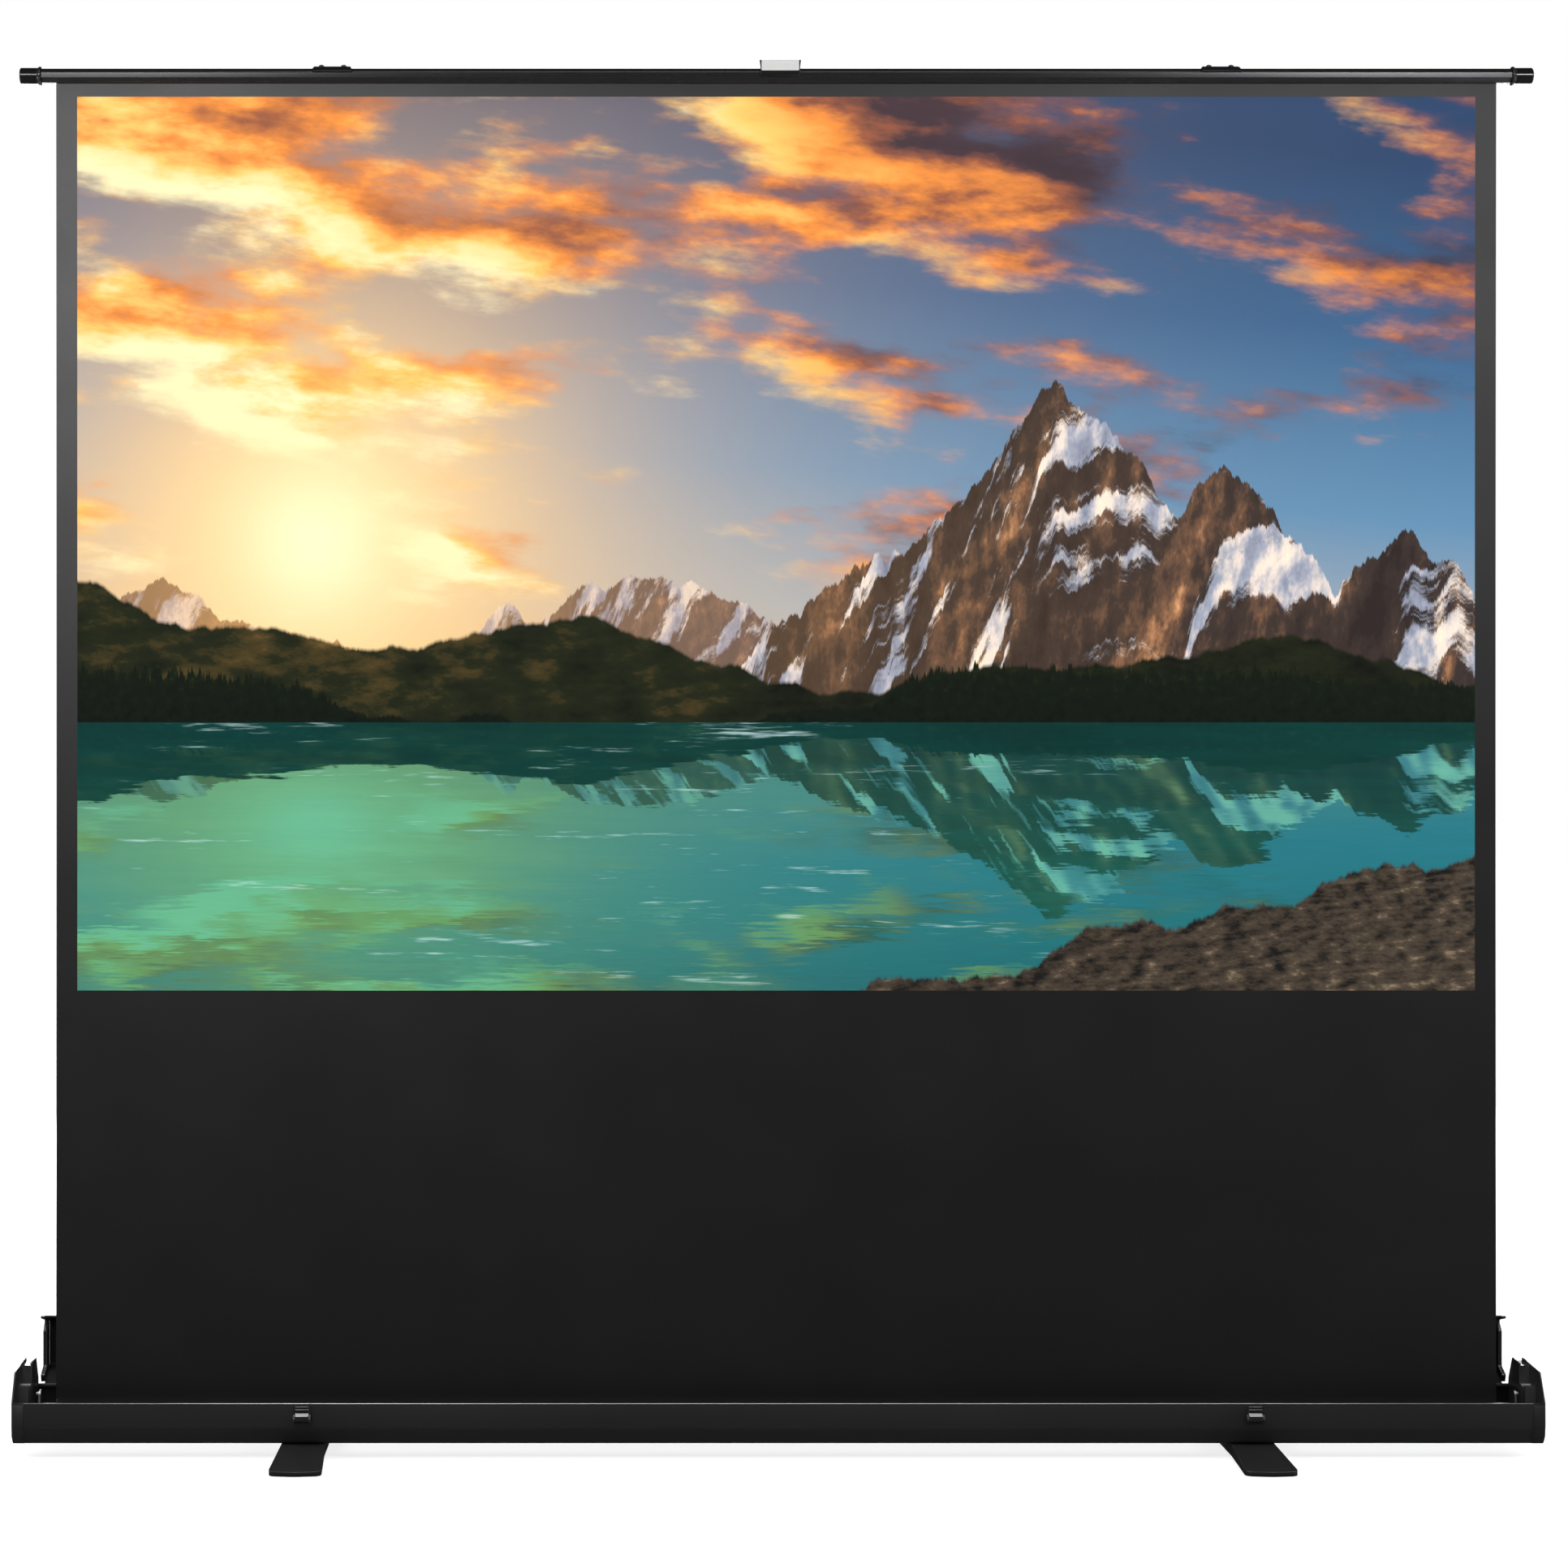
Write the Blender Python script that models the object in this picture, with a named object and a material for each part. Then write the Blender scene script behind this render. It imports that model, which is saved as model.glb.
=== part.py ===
"""A pull-up projection screen that stands on the floor.

The case lies along X and the screen rises from it in the plane Y = 0, seen from the -Y side.
Sizes are in metres. Each moving body hangs from an empty on its joint's axis, and the empties
are nested as the real pieces are: case, lower arm, upper arm, top bar.
"""

import math

import bmesh
import bpy
from mathutils import Matrix, Vector

# Clearances
SEAT_GAP = 0.0003
RUN_GAP = 0.0004
CUT_OVERRUN = 0.002

# Screen fabric and its roller
FABRIC_WIDTH = 2.204
FABRIC_THICKNESS = 0.0005
WOUND_SPACE = 0.0005
WOUND_TURNS = 3
TUBE_RADIUS = 0.020
TUBE_WALL = 0.0012
TUBE_OVERHANG = 0.003
GUDGEON_RADIUS = 0.005
GUDGEON_REACH = 0.0035
PLUG_DEPTH = 0.020
PLUG_FLANGE = 0.0027
PLUG_HUB_RADIUS = 0.009
SHAFT_RADIUS = 0.004
SHAFT_INSIDE = 0.330
SPRING_WIRE = 0.0011
SPRING_RADIUS = 0.0085
SPRING_LENGTH = 0.240
SPRING_TURNS = 16

# Scissor behind the fabric
ARM_LENGTH = 1.130
ARM_RAISED_ANGLE = 61.9
ARM_PIVOT_X = 0.679
ARM_HEIGHT = 0.024
ARM_THICKNESS = 0.008
ARM_GAP = 0.0015
PAIR_GAP = 0.0035
ARM_GROOVE_HEIGHT = 0.011
ARM_GROOVE_DEPTH = 0.0018
ARM_GROOVE_MARGIN = 0.030
PIN_RADIUS = 0.005
PIN_HEAD_RADIUS = 0.0085
PIN_HEAD_HEIGHT = 0.0015
WASHER_RADIUS = 0.0112
PIVOT_HEIGHT = 0.0468
PIVOT_DROP = 0.040
BRACKET_WIDTH = 0.050
BRACKET_TOP_RADIUS = 0.015
BRACKET_THICKNESS = 0.003
BRACKET_FLANGE = 0.022

# Top bar
BAR_RADIUS = 0.0112
BAR_END_LENGTH = 0.032
BAR_END_RADIUS = 0.01225
BAR_END_DOME = 0.0016
BAR_COLLAR_RADIUS = 0.0142
BAR_COLLAR_WIDTH = 0.0045
BAR_PLUG_LENGTH = 0.015
BAR_HOLE_RADIUS = 0.0044
BAR_HOLE_RISE = 0.0040
BAR_SLOT_WIDTH = 0.0018
ROD_POCKET_RADIUS = 0.0030
ROD_POCKET_DROP = 0.0050
ROD_RADIUS = 0.0019
FACET_STEP = 0.0006
FACET_HEIGHT = 0.0070

# Arm saddles on the bar
SADDLE_LENGTH = 0.060
SADDLE_THICKNESS = 0.003
SADDLE_END_TAPER = 0.004
SADDLE_FRONT_ANGLE = 163
TONGUE_WIDTH = 0.028
TONGUE_GAP = 0.0005
TONGUE_STEP_DROP = 0.0053
SADDLE_SCREW_SPACING = 0.034
SCREW_SHANK_RADIUS = 0.0020
SCREW_HEAD_RADIUS = 0.0042
SCREW_DOME_HEIGHT = 0.0022

# Pull handle
HANDLE_WIDTH = 0.063
HANDLE_OFFSET = 0.0055
HANDLE_RISE = 0.0103
HANDLE_DROP = 0.0030
HANDLE_THICKNESS = 0.0032
HANDLE_POST = 0.0025
HANDLE_PAD_HEIGHT = 0.0165
HANDLE_PAD_DEPTH = 0.0012
HANDLE_HOOK_WIDTH = 0.040
HANDLE_HOOK_THICKNESS = 0.003

# Case
CAP_WIDTH = 0.018
CASE_END_ROOM = 0.0065
CASE_WALL = 0.0022
FRONT_WALL_HEIGHT = 0.063
FRONT_ROOM = 0.0073
REAR_ROOM = 0.0081
ROLL_FLOOR_ROOM = 0.005
FRONT_CURVE_HEIGHT = 0.024
FRONT_CURVE_DEPTH = 0.008
REAR_CURVE_HEIGHT = 0.010
REAR_CURVE_DEPTH = 0.007
LIP_DEPTH = 0.0050
LIP_HEIGHT = 0.0034
HINGE_HEIGHT = 0.065
HINGE_BEAD_RADIUS = 0.0030
HINGE_WALL = 0.0016
BOSS_BORE = 0.0021
BOSS_WALL = 0.0018
BOSS_END_SPACE = 0.0010

# End caps
CAP_PROUD = 0.0006
CAP_HEADROOM = 0.023
CAP_OUTER_WALL = 0.0025
CAP_FRONT_WALL = 0.0030
CAP_BLADE = 0.0025
CAP_BLOCK_DROP = 0.006
CAP_ROUND = 0.0016
CRADLE_GAP = 0.0005
CRADLE_LIP = 0.0030
CRADLE_MARGIN = 0.0025
CAP_NOTCH_HEIGHT = 0.0045
CAP_NOTCH_DEPTH = 0.0020
CAP_SCREW_HEAD_RADIUS = 0.0038
CAP_SCREW_HEAD_HEIGHT = 0.0022
CAP_SCREW_LENGTH = 0.030

# Lid, in its open position
LID_WALL = 0.0018
LID_CHAMFER_RUN = 0.0475
LID_CHAMFER_RISE = 0.022
LID_FLAT = 0.074
LID_SKIRT_RUN = 0.042
LID_SKIRT_RISE = 0.010
LID_BEND_RADIUS = 0.007
LID_END_WIDTH = 0.006
LID_END_DEPTH = 0.012
LID_END_REACH = 0.0215
LID_END_CHAMFER = 0.015
LID_END_LIP = 0.0032
LID_CAP_ROOM = 0.003
LID_TIP_BEAD = 0.0030

# Roller brackets
ROLLER_BRACKET_THICKNESS = 0.003
ROLLER_BRACKET_SPACE = 0.0155
ROLLER_BRACKET_WIDTH = 0.034
ROLLER_BRACKET_FLANGE = 0.012
EAR_RADIUS = 0.0065
EAR_HEIGHT = 0.0395
EAR_PIN_RADIUS = 0.0035
EAR_PIN_LENGTH = 0.004

# Swivel feet
FOOT_X = 0.720
FOOT_REACH = 0.180
FOOT_WIDTH = 0.065
FOOT_TIP_WIDTH = 0.079
FOOT_HUB_HEIGHT = 0.0207
FOOT_HUB_REACH = 0.046
FOOT_TIP_HEIGHT = 0.0082
FOOT_LIFT = 0.0015
FOOT_CORNER_RADIUS = 0.011
FOOT_END_BULGE = 0.005
PAD_LENGTH = 0.050
PAD_WIDTH = 0.016
PAD_HEIGHT = 0.0028
PAD_INSET = 0.024
PAD_CORNER_RADIUS = 0.005
FOOT_PIVOT_RADIUS = 0.005
FOOT_PIVOT_HEAD_RADIUS = 0.011
FOOT_PIVOT_HEAD_HEIGHT = 0.0025
FOOT_RIVET_HEIGHT = 0.0025

# Lid latches on the front wall
LATCH_X = 0.720
LATCH_BASE_WIDTH = 0.027
LATCH_LEVER_WIDTH = 0.020
LATCH_BASE_HEIGHT = 0.0235
LATCH_LIP_DROP = 0.0040
LATCH_PLATE = 0.0014
LATCH_CHEEK = 0.0028
LATCH_CHEEK_HEIGHT = 0.0115
LATCH_CHEEK_DEPTH = 0.0093
LATCH_PIN_RADIUS = 0.0018
LATCH_PIN_OUT = 0.0050
LATCH_PIN_UP = 0.0058
LATCH_LEVER_PLATE = 0.0025
LATCH_RIB = 0.0018

# Carry handle on the rear wall
GRIP_SPAN = 0.150
GRIP_DROP = 0.030
GRIP_RADIUS = 0.0040
GRIP_PIVOT_HEIGHT = 0.046
GRIP_BEND = 0.012
GRIP_STUB = 0.010
MOUNT_WIDTH = 0.016
MOUNT_HEIGHT = 0.022
MOUNT_DEPTH = 0.014
MOUNT_ROUND = 0.0065

# Numbers of steps in round forms
ROUND_STEPS = 24
TUBE_STEPS = 32
SMALL_STEPS = 16
CORNER_STEPS = 4
BEND_STEPS = 6
SPRING_STEPS = 8

# Outline of an end cap: share of its depth from the front, share of its height, rounded corner
CAP_OUTLINE_SHARES = (
    (0.080, 0.000, 0.040),
    (0.015, 0.110, 0.080),
    (0.000, 0.260, 0.080),
    (0.002, 0.572, 0.020),
    (0.185, 0.946, 0.035),
    (0.838, 1.000, 0.035),
    (0.985, 0.687, 0.060),
    (1.000, 0.509, 0.060),
    (1.000, 0.214, 0.080),
    (0.969, 0.071, 0.040),
    (0.908, 0.000, 0.030),
)

# Derived places, worked out from the fabric plane outwards
WOUND_PITCH = FABRIC_THICKNESS + WOUND_SPACE
WOUND_START = TUBE_RADIUS + SEAT_GAP + FABRIC_THICKNESS / 2
WOUND_END = WOUND_START + WOUND_TURNS * WOUND_PITCH
WOUND_OUTER = WOUND_END + FABRIC_THICKNESS / 2
ROLLER_Y = -WOUND_END
TUBE_HALF = FABRIC_WIDTH / 2 + TUBE_OVERHANG

BAR_BACK = BAR_RADIUS + SEAT_GAP
LAYER_1 = BAR_BACK + SADDLE_THICKNESS + TONGUE_GAP
LAYER_2 = LAYER_1 + ARM_THICKNESS + ARM_GAP
LAYER_3 = LAYER_2 + ARM_THICKNESS + PAIR_GAP
LAYER_4 = LAYER_3 + ARM_THICKNESS + ARM_GAP
LEFT_BRACKET_Y = LAYER_2 + ARM_THICKNESS + ARM_GAP
RIGHT_BRACKET_Y = LAYER_4 + ARM_THICKNESS + ARM_GAP
RIGHT_TONGUE_Y = LAYER_3 - TONGUE_GAP - SADDLE_THICKNESS

CASE_BOTTOM = FOOT_HUB_HEIGHT + SEAT_GAP
CASE_FLOOR = CASE_BOTTOM + CASE_WALL
LIP_Z = CASE_BOTTOM + FRONT_WALL_HEIGHT
CASE_FRONT = ROLLER_Y - WOUND_OUTER - FRONT_ROOM - CASE_WALL
CASE_REAR = RIGHT_BRACKET_Y + BRACKET_THICKNESS + REAR_ROOM + CASE_WALL
HINGE_Y = CASE_REAR - CASE_WALL / 2
HINGE_Z = CASE_BOTTOM + HINGE_HEIGHT
SOCKET_INNER = HINGE_BEAD_RADIUS + RUN_GAP
SOCKET_OUTER = SOCKET_INNER + HINGE_WALL
ROLLER_Z = CASE_FLOOR + ROLL_FLOOR_ROOM + WOUND_OUTER
ROLLER_BRACKET_X = TUBE_HALF + ROLLER_BRACKET_SPACE
ROLLER_BRACKET_REACH = ROLLER_BRACKET_X + ROLLER_BRACKET_THICKNESS + ROLLER_BRACKET_FLANGE
CAP_INNER_X = ROLLER_BRACKET_REACH + CASE_END_ROOM
CASE_LENGTH = 2 * (CAP_INNER_X + CAP_WIDTH)
TROUGH_HALF = CAP_INNER_X - SEAT_GAP

BASE_PIVOT_Z = CASE_FLOOR + PIVOT_HEIGHT
RAISED_ANGLE = math.radians(ARM_RAISED_ANGLE)
TOP_PIVOT_Z = BASE_PIVOT_Z + 2 * ARM_LENGTH * math.sin(RAISED_ANGLE)
BAR_Z = TOP_PIVOT_Z + PIVOT_DROP
STOWED_BAR_Z = BASE_PIVOT_Z + PIVOT_DROP
PIN_BORE = PIN_RADIUS + RUN_GAP
PIN_SEAT = PIN_RADIUS + SEAT_GAP

CAP_FRONT = CASE_FRONT - CAP_PROUD
CAP_REAR = HINGE_Y + SOCKET_OUTER
CAP_TOP = STOWED_BAR_Z + CAP_HEADROOM
CAP_POCKET_X = CASE_LENGTH / 2 - CAP_OUTER_WALL
BAR_END_X = CAP_POCKET_X - CRADLE_GAP
BAR_HALF = BAR_END_X - BAR_END_LENGTH - SEAT_GAP
CRADLE_RADIUS = BAR_END_RADIUS + CRADLE_GAP
SHELF_Z = STOWED_BAR_Z - CRADLE_RADIUS + CRADLE_LIP
SHELF_REACH = CRADLE_RADIUS + CRADLE_MARGIN
BOSS_OUTER = BOSS_BORE + BOSS_WALL
FRONT_BOSS = (CASE_FRONT + FRONT_CURVE_DEPTH + BOSS_OUTER, CASE_FLOOR + BOSS_BORE + SEAT_GAP)
REAR_BOSS = (CASE_REAR - CASE_WALL - BOSS_OUTER + SEAT_GAP, CASE_BOTTOM + REAR_CURVE_HEIGHT)
LID_HALF = CAP_INNER_X - LID_CAP_ROOM - LID_END_WIDTH - SEAT_GAP
LATCH_TOP = LIP_Z - LATCH_LIP_DROP
LATCH_BOTTOM = LATCH_TOP - LATCH_BASE_HEIGHT
LATCH_PIN_Y = CASE_FRONT - SEAT_GAP - LATCH_PLATE - LATCH_PIN_OUT
LATCH_PIN_Z = LATCH_BOTTOM + LATCH_PIN_UP
GRIP_Y = CASE_REAR + SEAT_GAP + MOUNT_DEPTH / 2
GRIP_Z = CASE_BOTTOM + GRIP_PIVOT_HEIGHT


def clear_scene():
    for old in list(bpy.data.objects):
        bpy.data.objects.remove(old)


def finish_named(name, colour, roughness, metallic):
    material = bpy.data.materials.new(name)
    material.use_nodes = True
    shader = material.node_tree.nodes["Principled BSDF"]
    shader.inputs["Base Color"].default_value = (*colour, 1)
    shader.inputs["Roughness"].default_value = roughness
    shader.inputs["Metallic"].default_value = metallic
    return material


def make_finishes():
    return {
        "case": finish_named("black_case", (0.022, 0.022, 0.023), 0.34, 0.6),
        "plastic": finish_named("black_plastic", (0.018, 0.018, 0.019), 0.32, 0.0),
        "foot": finish_named("foot_plastic", (0.014, 0.014, 0.015), 0.42, 0.0),
        "bar": finish_named("bar_metal", (0.045, 0.045, 0.047), 0.30, 0.8),
        "steel": finish_named("zinc_steel", (0.52, 0.52, 0.53), 0.34, 1.0),
        "arm": finish_named("arm_metal", (0.06, 0.06, 0.063), 0.40, 0.8),
        "fabric": finish_named("screen_black", (0.020, 0.020, 0.020), 0.85, 0.0),
        "rubber": finish_named("pad_rubber", (0.012, 0.012, 0.012), 0.90, 0.0),
        "fibre": finish_named("friction_fibre", (0.16, 0.11, 0.06), 0.80, 0.0),
        "tube": finish_named("tube_aluminium", (0.60, 0.60, 0.61), 0.35, 1.0),
    }


def corner(before, here, after, radius, steps):
    """The points that round one corner, or the corner itself where its radius is zero."""
    if radius == 0:
        return [here]
    back = before - here
    ahead = after - here
    half = back.angle(ahead) / 2
    reach = min(radius / math.tan(half), back.length / 2, ahead.length / 2)
    fitted = reach * math.tan(half)
    towards = (back.normalized() + ahead.normalized()).normalized()
    centre = here + towards * (fitted / math.sin(half))
    start = here + back.normalized() * reach - centre
    end = here + ahead.normalized() * reach - centre
    turn = start.angle_signed(end)
    points = []
    for step in range(steps + 1):
        spin = Matrix.Rotation(-turn * step / steps, 2)
        points.append(centre + spin @ start)
    return points


def rounded(points, closed=True, steps=CORNER_STEPS):
    """An outline from (across, up, corner radius) points, with its corners rounded."""
    places = [Vector(point[:2]) for point in points]
    count = len(points)
    outline = []
    for index, point in enumerate(points):
        is_end = not closed and index in (0, count - 1)
        radius = 0 if is_end else point[2]
        before = places[index - 1]
        after = places[(index + 1) % count]
        outline += corner(before, places[index], after, radius, steps)
    return outline


def arc(centre, radius, first, last, steps):
    """Points on a circle, from one angle to another, in degrees."""
    points = []
    for step in range(steps + 1):
        angle = math.radians(first + (last - first) * step / steps)
        points.append(Vector(centre) + Vector((math.cos(angle), math.sin(angle))) * radius)
    return points


def offset_path(path, distance):
    """The path moved to its left by the distance, with its bends mitred."""
    lines = [after - before for before, after in zip(path, path[1:])]
    shifted = []
    for point, first, second in zip(path, [lines[0], *lines], [*lines, lines[-1]]):
        left_first = Vector((-first.y, first.x)).normalized()
        left_second = Vector((-second.y, second.x)).normalized()
        middle = (left_first + left_second).normalized()
        shifted.append(point + middle * (distance / middle.dot(left_first)))
    return shifted


def thick_path(path, thickness):
    """The closed outline of a sheet that follows the path."""
    left = offset_path(path, thickness / 2)
    right = offset_path(path, -thickness / 2)
    return left + right[::-1]


def rectangle(left, bottom, right, top):
    return [Vector(point) for point in ((left, bottom), (right, bottom), (right, top), (left, top))]


def slab(width, height, radius, steps=CORNER_STEPS):
    """A rectangle about the origin with rounded corners."""
    half_width = width / 2
    half_height = height / 2
    corners = ((-half_width, -half_height), (half_width, -half_height))
    corners += ((half_width, half_height), (-half_width, half_height))
    return rounded([(across, up, radius) for across, up in corners], steps=steps)


def prism(outline, start, end, axis="X"):
    """A solid with this outline on the other two axes, in X, Y, Z order, between two places."""
    shape = bmesh.new()
    placed = {
        "X": lambda point, along: (along, point[0], point[1]),
        "Y": lambda point, along: (point[0], along, point[1]),
        "Z": lambda point, along: (point[0], point[1], along),
    }[axis]
    near = [shape.verts.new(placed(point, start)) for point in outline]
    far = [shape.verts.new(placed(point, end)) for point in outline]
    shape.faces.new(near)
    shape.faces.new(far[::-1])
    for index in range(len(outline)):
        following = (index + 1) % len(outline)
        shape.faces.new((near[index], far[index], far[following], near[following]))
    bmesh.ops.recalc_face_normals(shape, faces=shape.faces)
    return shape


def box(low, high):
    return prism(rectangle(low[0], low[1], high[0], high[1]), low[2], high[2], "Z")


def turned(profile, axis="X", steps=ROUND_STEPS, closed=False):
    """A solid of revolution about an axis through the origin, from (along, radius) points."""
    shape = bmesh.new()
    placed = {
        "X": lambda along, side, up: (along, side, up),
        "Y": lambda along, side, up: (up, along, side),
        "Z": lambda along, side, up: (side, up, along),
    }[axis]
    rings = []
    for along, radius in profile:
        angles = [math.tau * step / steps for step in range(steps)]
        if radius == 0:
            rings.append([shape.verts.new(placed(along, 0, 0))] * steps)
            continue
        ring = [placed(along, radius * math.cos(a), radius * math.sin(a)) for a in angles]
        rings.append([shape.verts.new(place) for place in ring])
    pairs = list(zip(rings, rings[1:]))
    if closed:
        pairs.append((rings[-1], rings[0]))
    for ring, following in pairs:
        for step in range(steps):
            after = (step + 1) % steps
            loop = (ring[step], ring[after], following[after], following[step])
            shape.faces.new(dict.fromkeys(loop))
    bmesh.ops.recalc_face_normals(shape, faces=shape.faces)
    return shape


def rod(radius, start, end, axis="X", steps=ROUND_STEPS):
    return turned(((start, 0), (start, radius), (end, radius), (end, 0)), axis, steps)


def ring(inner, outer, start, end, axis="X", steps=ROUND_STEPS):
    profile = ((start, inner), (start, outer), (end, outer), (end, inner))
    return turned(profile, axis, steps, closed=True)


def moved(shape, x=0.0, y=0.0, z=0.0):
    bmesh.ops.translate(shape, vec=(x, y, z), verts=shape.verts)
    return shape


def mirrored(shape, side):
    """The shape as built on the +X side, turned over to the -X side where side is -1."""
    if side < 0:
        bmesh.ops.scale(shape, vec=(side, 1, 1), verts=shape.verts)
        bmesh.ops.reverse_faces(shape, faces=shape.faces)
    return shape


def loose_object(shape):
    mesh = bpy.data.meshes.new("shape")
    shape.to_mesh(mesh)
    shape.free()
    loose = bpy.data.objects.new("shape", mesh)
    bpy.context.scene.collection.objects.link(loose)
    return loose


def combined(shape, tools, operation):
    """The shape after a Boolean with each of the tools in turn."""
    target = loose_object(shape)
    cutters = [loose_object(tool) for tool in tools]
    for cutter in cutters:
        modifier = target.modifiers.new("boolean", "BOOLEAN")
        modifier.operation = operation
        modifier.object = cutter
    bpy.context.view_layer.update()
    graph = bpy.context.evaluated_depsgraph_get()
    mesh = bpy.data.meshes.new_from_object(target.evaluated_get(graph))
    result = bmesh.new()
    result.from_mesh(mesh)
    for used in [target, *cutters]:
        bpy.data.objects.remove(used)
    return result


def cut(shape, *tools):
    return combined(shape, tools, "DIFFERENCE")


def joined(shape, *tools):
    return combined(shape, tools, "UNION")


def common(shape, *tools):
    return combined(shape, tools, "INTERSECT")


def softened(shape, width, angle=50, steps=2, keep=None):
    """The shape with its sharp edges rounded, or only those edges that keep accepts."""
    limit = math.radians(angle)
    edges = [edge for edge in shape.edges if edge.calc_face_angle(0) > limit]
    if keep:
        edges = [edge for edge in edges if keep(edge)]
    bmesh.ops.bevel(
        shape, geom=edges, offset=width, segments=steps, profile=0.5,
        affect="EDGES", clamp_overlap=True,
    )
    return shape


def body(name, at=(0, 0, 0), under=None, turn=0):
    """An empty on a joint's axis, turned about Y, that carries one moving body."""
    empty = bpy.data.objects.new(name, None)
    empty.location = at
    empty.rotation_euler.y = turn
    empty.parent = under
    bpy.context.scene.collection.objects.link(empty)
    return empty


def piece(name, shape, finish, carrier, at=(0, 0, 0)):
    """One named piece of the screen, placed under the body that carries it."""
    mesh = bpy.data.meshes.new(name)
    shape.to_mesh(mesh)
    shape.free()
    mesh.shade_smooth()
    mesh.set_sharp_from_angle(angle=math.radians(32))
    mesh.materials.append(finish)
    item = bpy.data.objects.new(name, mesh)
    item.location = at
    item.parent = carrier
    bpy.context.scene.collection.objects.link(item)
    return item


def case_profile():
    """The case's section: front lip, curved floor, rear wall and the open socket of the lid hinge."""
    outer = rounded(
        [
            (CASE_FRONT, LIP_Z - LIP_HEIGHT, 0),
            (CASE_FRONT, CASE_BOTTOM + FRONT_CURVE_HEIGHT, FRONT_CURVE_HEIGHT),
            (CASE_FRONT + FRONT_CURVE_DEPTH, CASE_BOTTOM, FRONT_CURVE_DEPTH),
            (CASE_REAR - REAR_CURVE_DEPTH, CASE_BOTTOM, REAR_CURVE_DEPTH),
            (CASE_REAR, CASE_BOTTOM + REAR_CURVE_HEIGHT, REAR_CURVE_HEIGHT),
            (CASE_REAR, HINGE_Z - SOCKET_INNER, 0),
        ],
        closed=False,
    )
    inner = offset_path(outer, CASE_WALL)
    lean = math.degrees(math.asin(CASE_WALL / 2 / SOCKET_OUTER))
    centre = (HINGE_Y, HINGE_Z)
    socket = arc(centre, SOCKET_OUTER, -90 + lean, 5, BEND_STEPS)
    socket += arc(centre, SOCKET_INNER, 5, -230, 2 * BEND_STEPS)
    socket += arc(centre, SOCKET_OUTER, -230, -90 - lean, BEND_STEPS)
    round_lip = LIP_HEIGHT * 2 / 5
    lip = rounded(
        [
            (CASE_FRONT + CASE_WALL, LIP_Z - LIP_HEIGHT, 0),
            (CASE_FRONT + LIP_DEPTH, LIP_Z - LIP_HEIGHT, round_lip),
            (CASE_FRONT + LIP_DEPTH, LIP_Z, round_lip),
            (CASE_FRONT, LIP_Z, round_lip),
            (CASE_FRONT, LIP_Z - LIP_HEIGHT, 0),
        ],
        closed=False,
    )
    return outer[:-1] + socket + inner[1:-1][::-1] + lip[:-1]


def screw_boss(centre, opening):
    """A C-shaped screw channel in a corner of the case, open towards the given angle."""
    half_opening = 35
    first = opening + half_opening
    last = opening + 360 - half_opening
    outline = arc(centre, BOSS_OUTER, first, last, 2 * BEND_STEPS)
    outline += arc(centre, BOSS_BORE, last, first, 2 * BEND_STEPS)
    reach = TROUGH_HALF - BOSS_END_SPACE
    half_wall = CASE_WALL / 2
    inside = rectangle(
        CASE_FRONT + half_wall, CASE_BOTTOM + half_wall, CASE_REAR - half_wall, LIP_Z
    )
    return common(
        prism(outline, -reach, reach),
        prism(inside, -CASE_LENGTH, CASE_LENGTH),
    )


def base_trough(finish, carrier):
    shape = prism(case_profile(), -TROUGH_HALF, TROUGH_HALF)
    shape = joined(shape, screw_boss(FRONT_BOSS, 90), screw_boss(REAR_BOSS, 120))
    holes = []
    for side in (-1, 1):
        hole = rod(
            FOOT_PIVOT_RADIUS + SEAT_GAP, CASE_BOTTOM - CUT_OVERRUN, CASE_FLOOR + CUT_OVERRUN, "Z"
        )
        holes.append(moved(hole, x=side * FOOT_X))
    piece("base_trough", cut(shape, *holes), finish, carrier)


def cap_outline():
    depth = CAP_REAR - CAP_FRONT
    height = CAP_TOP - CASE_BOTTOM
    points = []
    for depth_share, height_share, round_share in CAP_OUTLINE_SHARES:
        point = (CAP_FRONT + depth * depth_share, CASE_BOTTOM + height * height_share)
        points.append((*point, height * round_share))
    return rounded(points)


def cap_cutters(outer_x):
    """Everything that is hollow in an end cap built on the +X side."""
    inner = CAP_INNER_X - CUT_OVERRUN
    front = CAP_FRONT - CUT_OVERRUN
    top = CAP_TOP + CUT_OVERRUN
    rear = CAP_REAR + CUT_OVERRUN
    blade = CAP_INNER_X + CAP_BLADE
    hollow_low = CASE_BOTTOM + CAP_OUTER_WALL + 2 * BOSS_OUTER + CAP_FRONT_WALL
    return [
        box((inner, front, SHELF_Z), (CAP_POCKET_X, SHELF_REACH, top)),
        box((inner, front, LIP_Z), (CAP_POCKET_X, -SHELF_REACH, top)),
        box((inner, CAP_FRONT + CAP_FRONT_WALL, hollow_low), (CAP_POCKET_X, -SHELF_REACH, top)),
        moved(rod(CRADLE_RADIUS, inner, CAP_POCKET_X, "X", TUBE_STEPS), z=STOWED_BAR_Z),
        box((blade, SHELF_REACH - CUT_OVERRUN, CAP_TOP - CAP_BLOCK_DROP), (CAP_POCKET_X, rear, top)),
        box(
            (inner, front, LIP_Z - CAP_NOTCH_HEIGHT),
            (outer_x, CAP_FRONT + CAP_NOTCH_DEPTH, LIP_Z),
        ),
    ]


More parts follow.
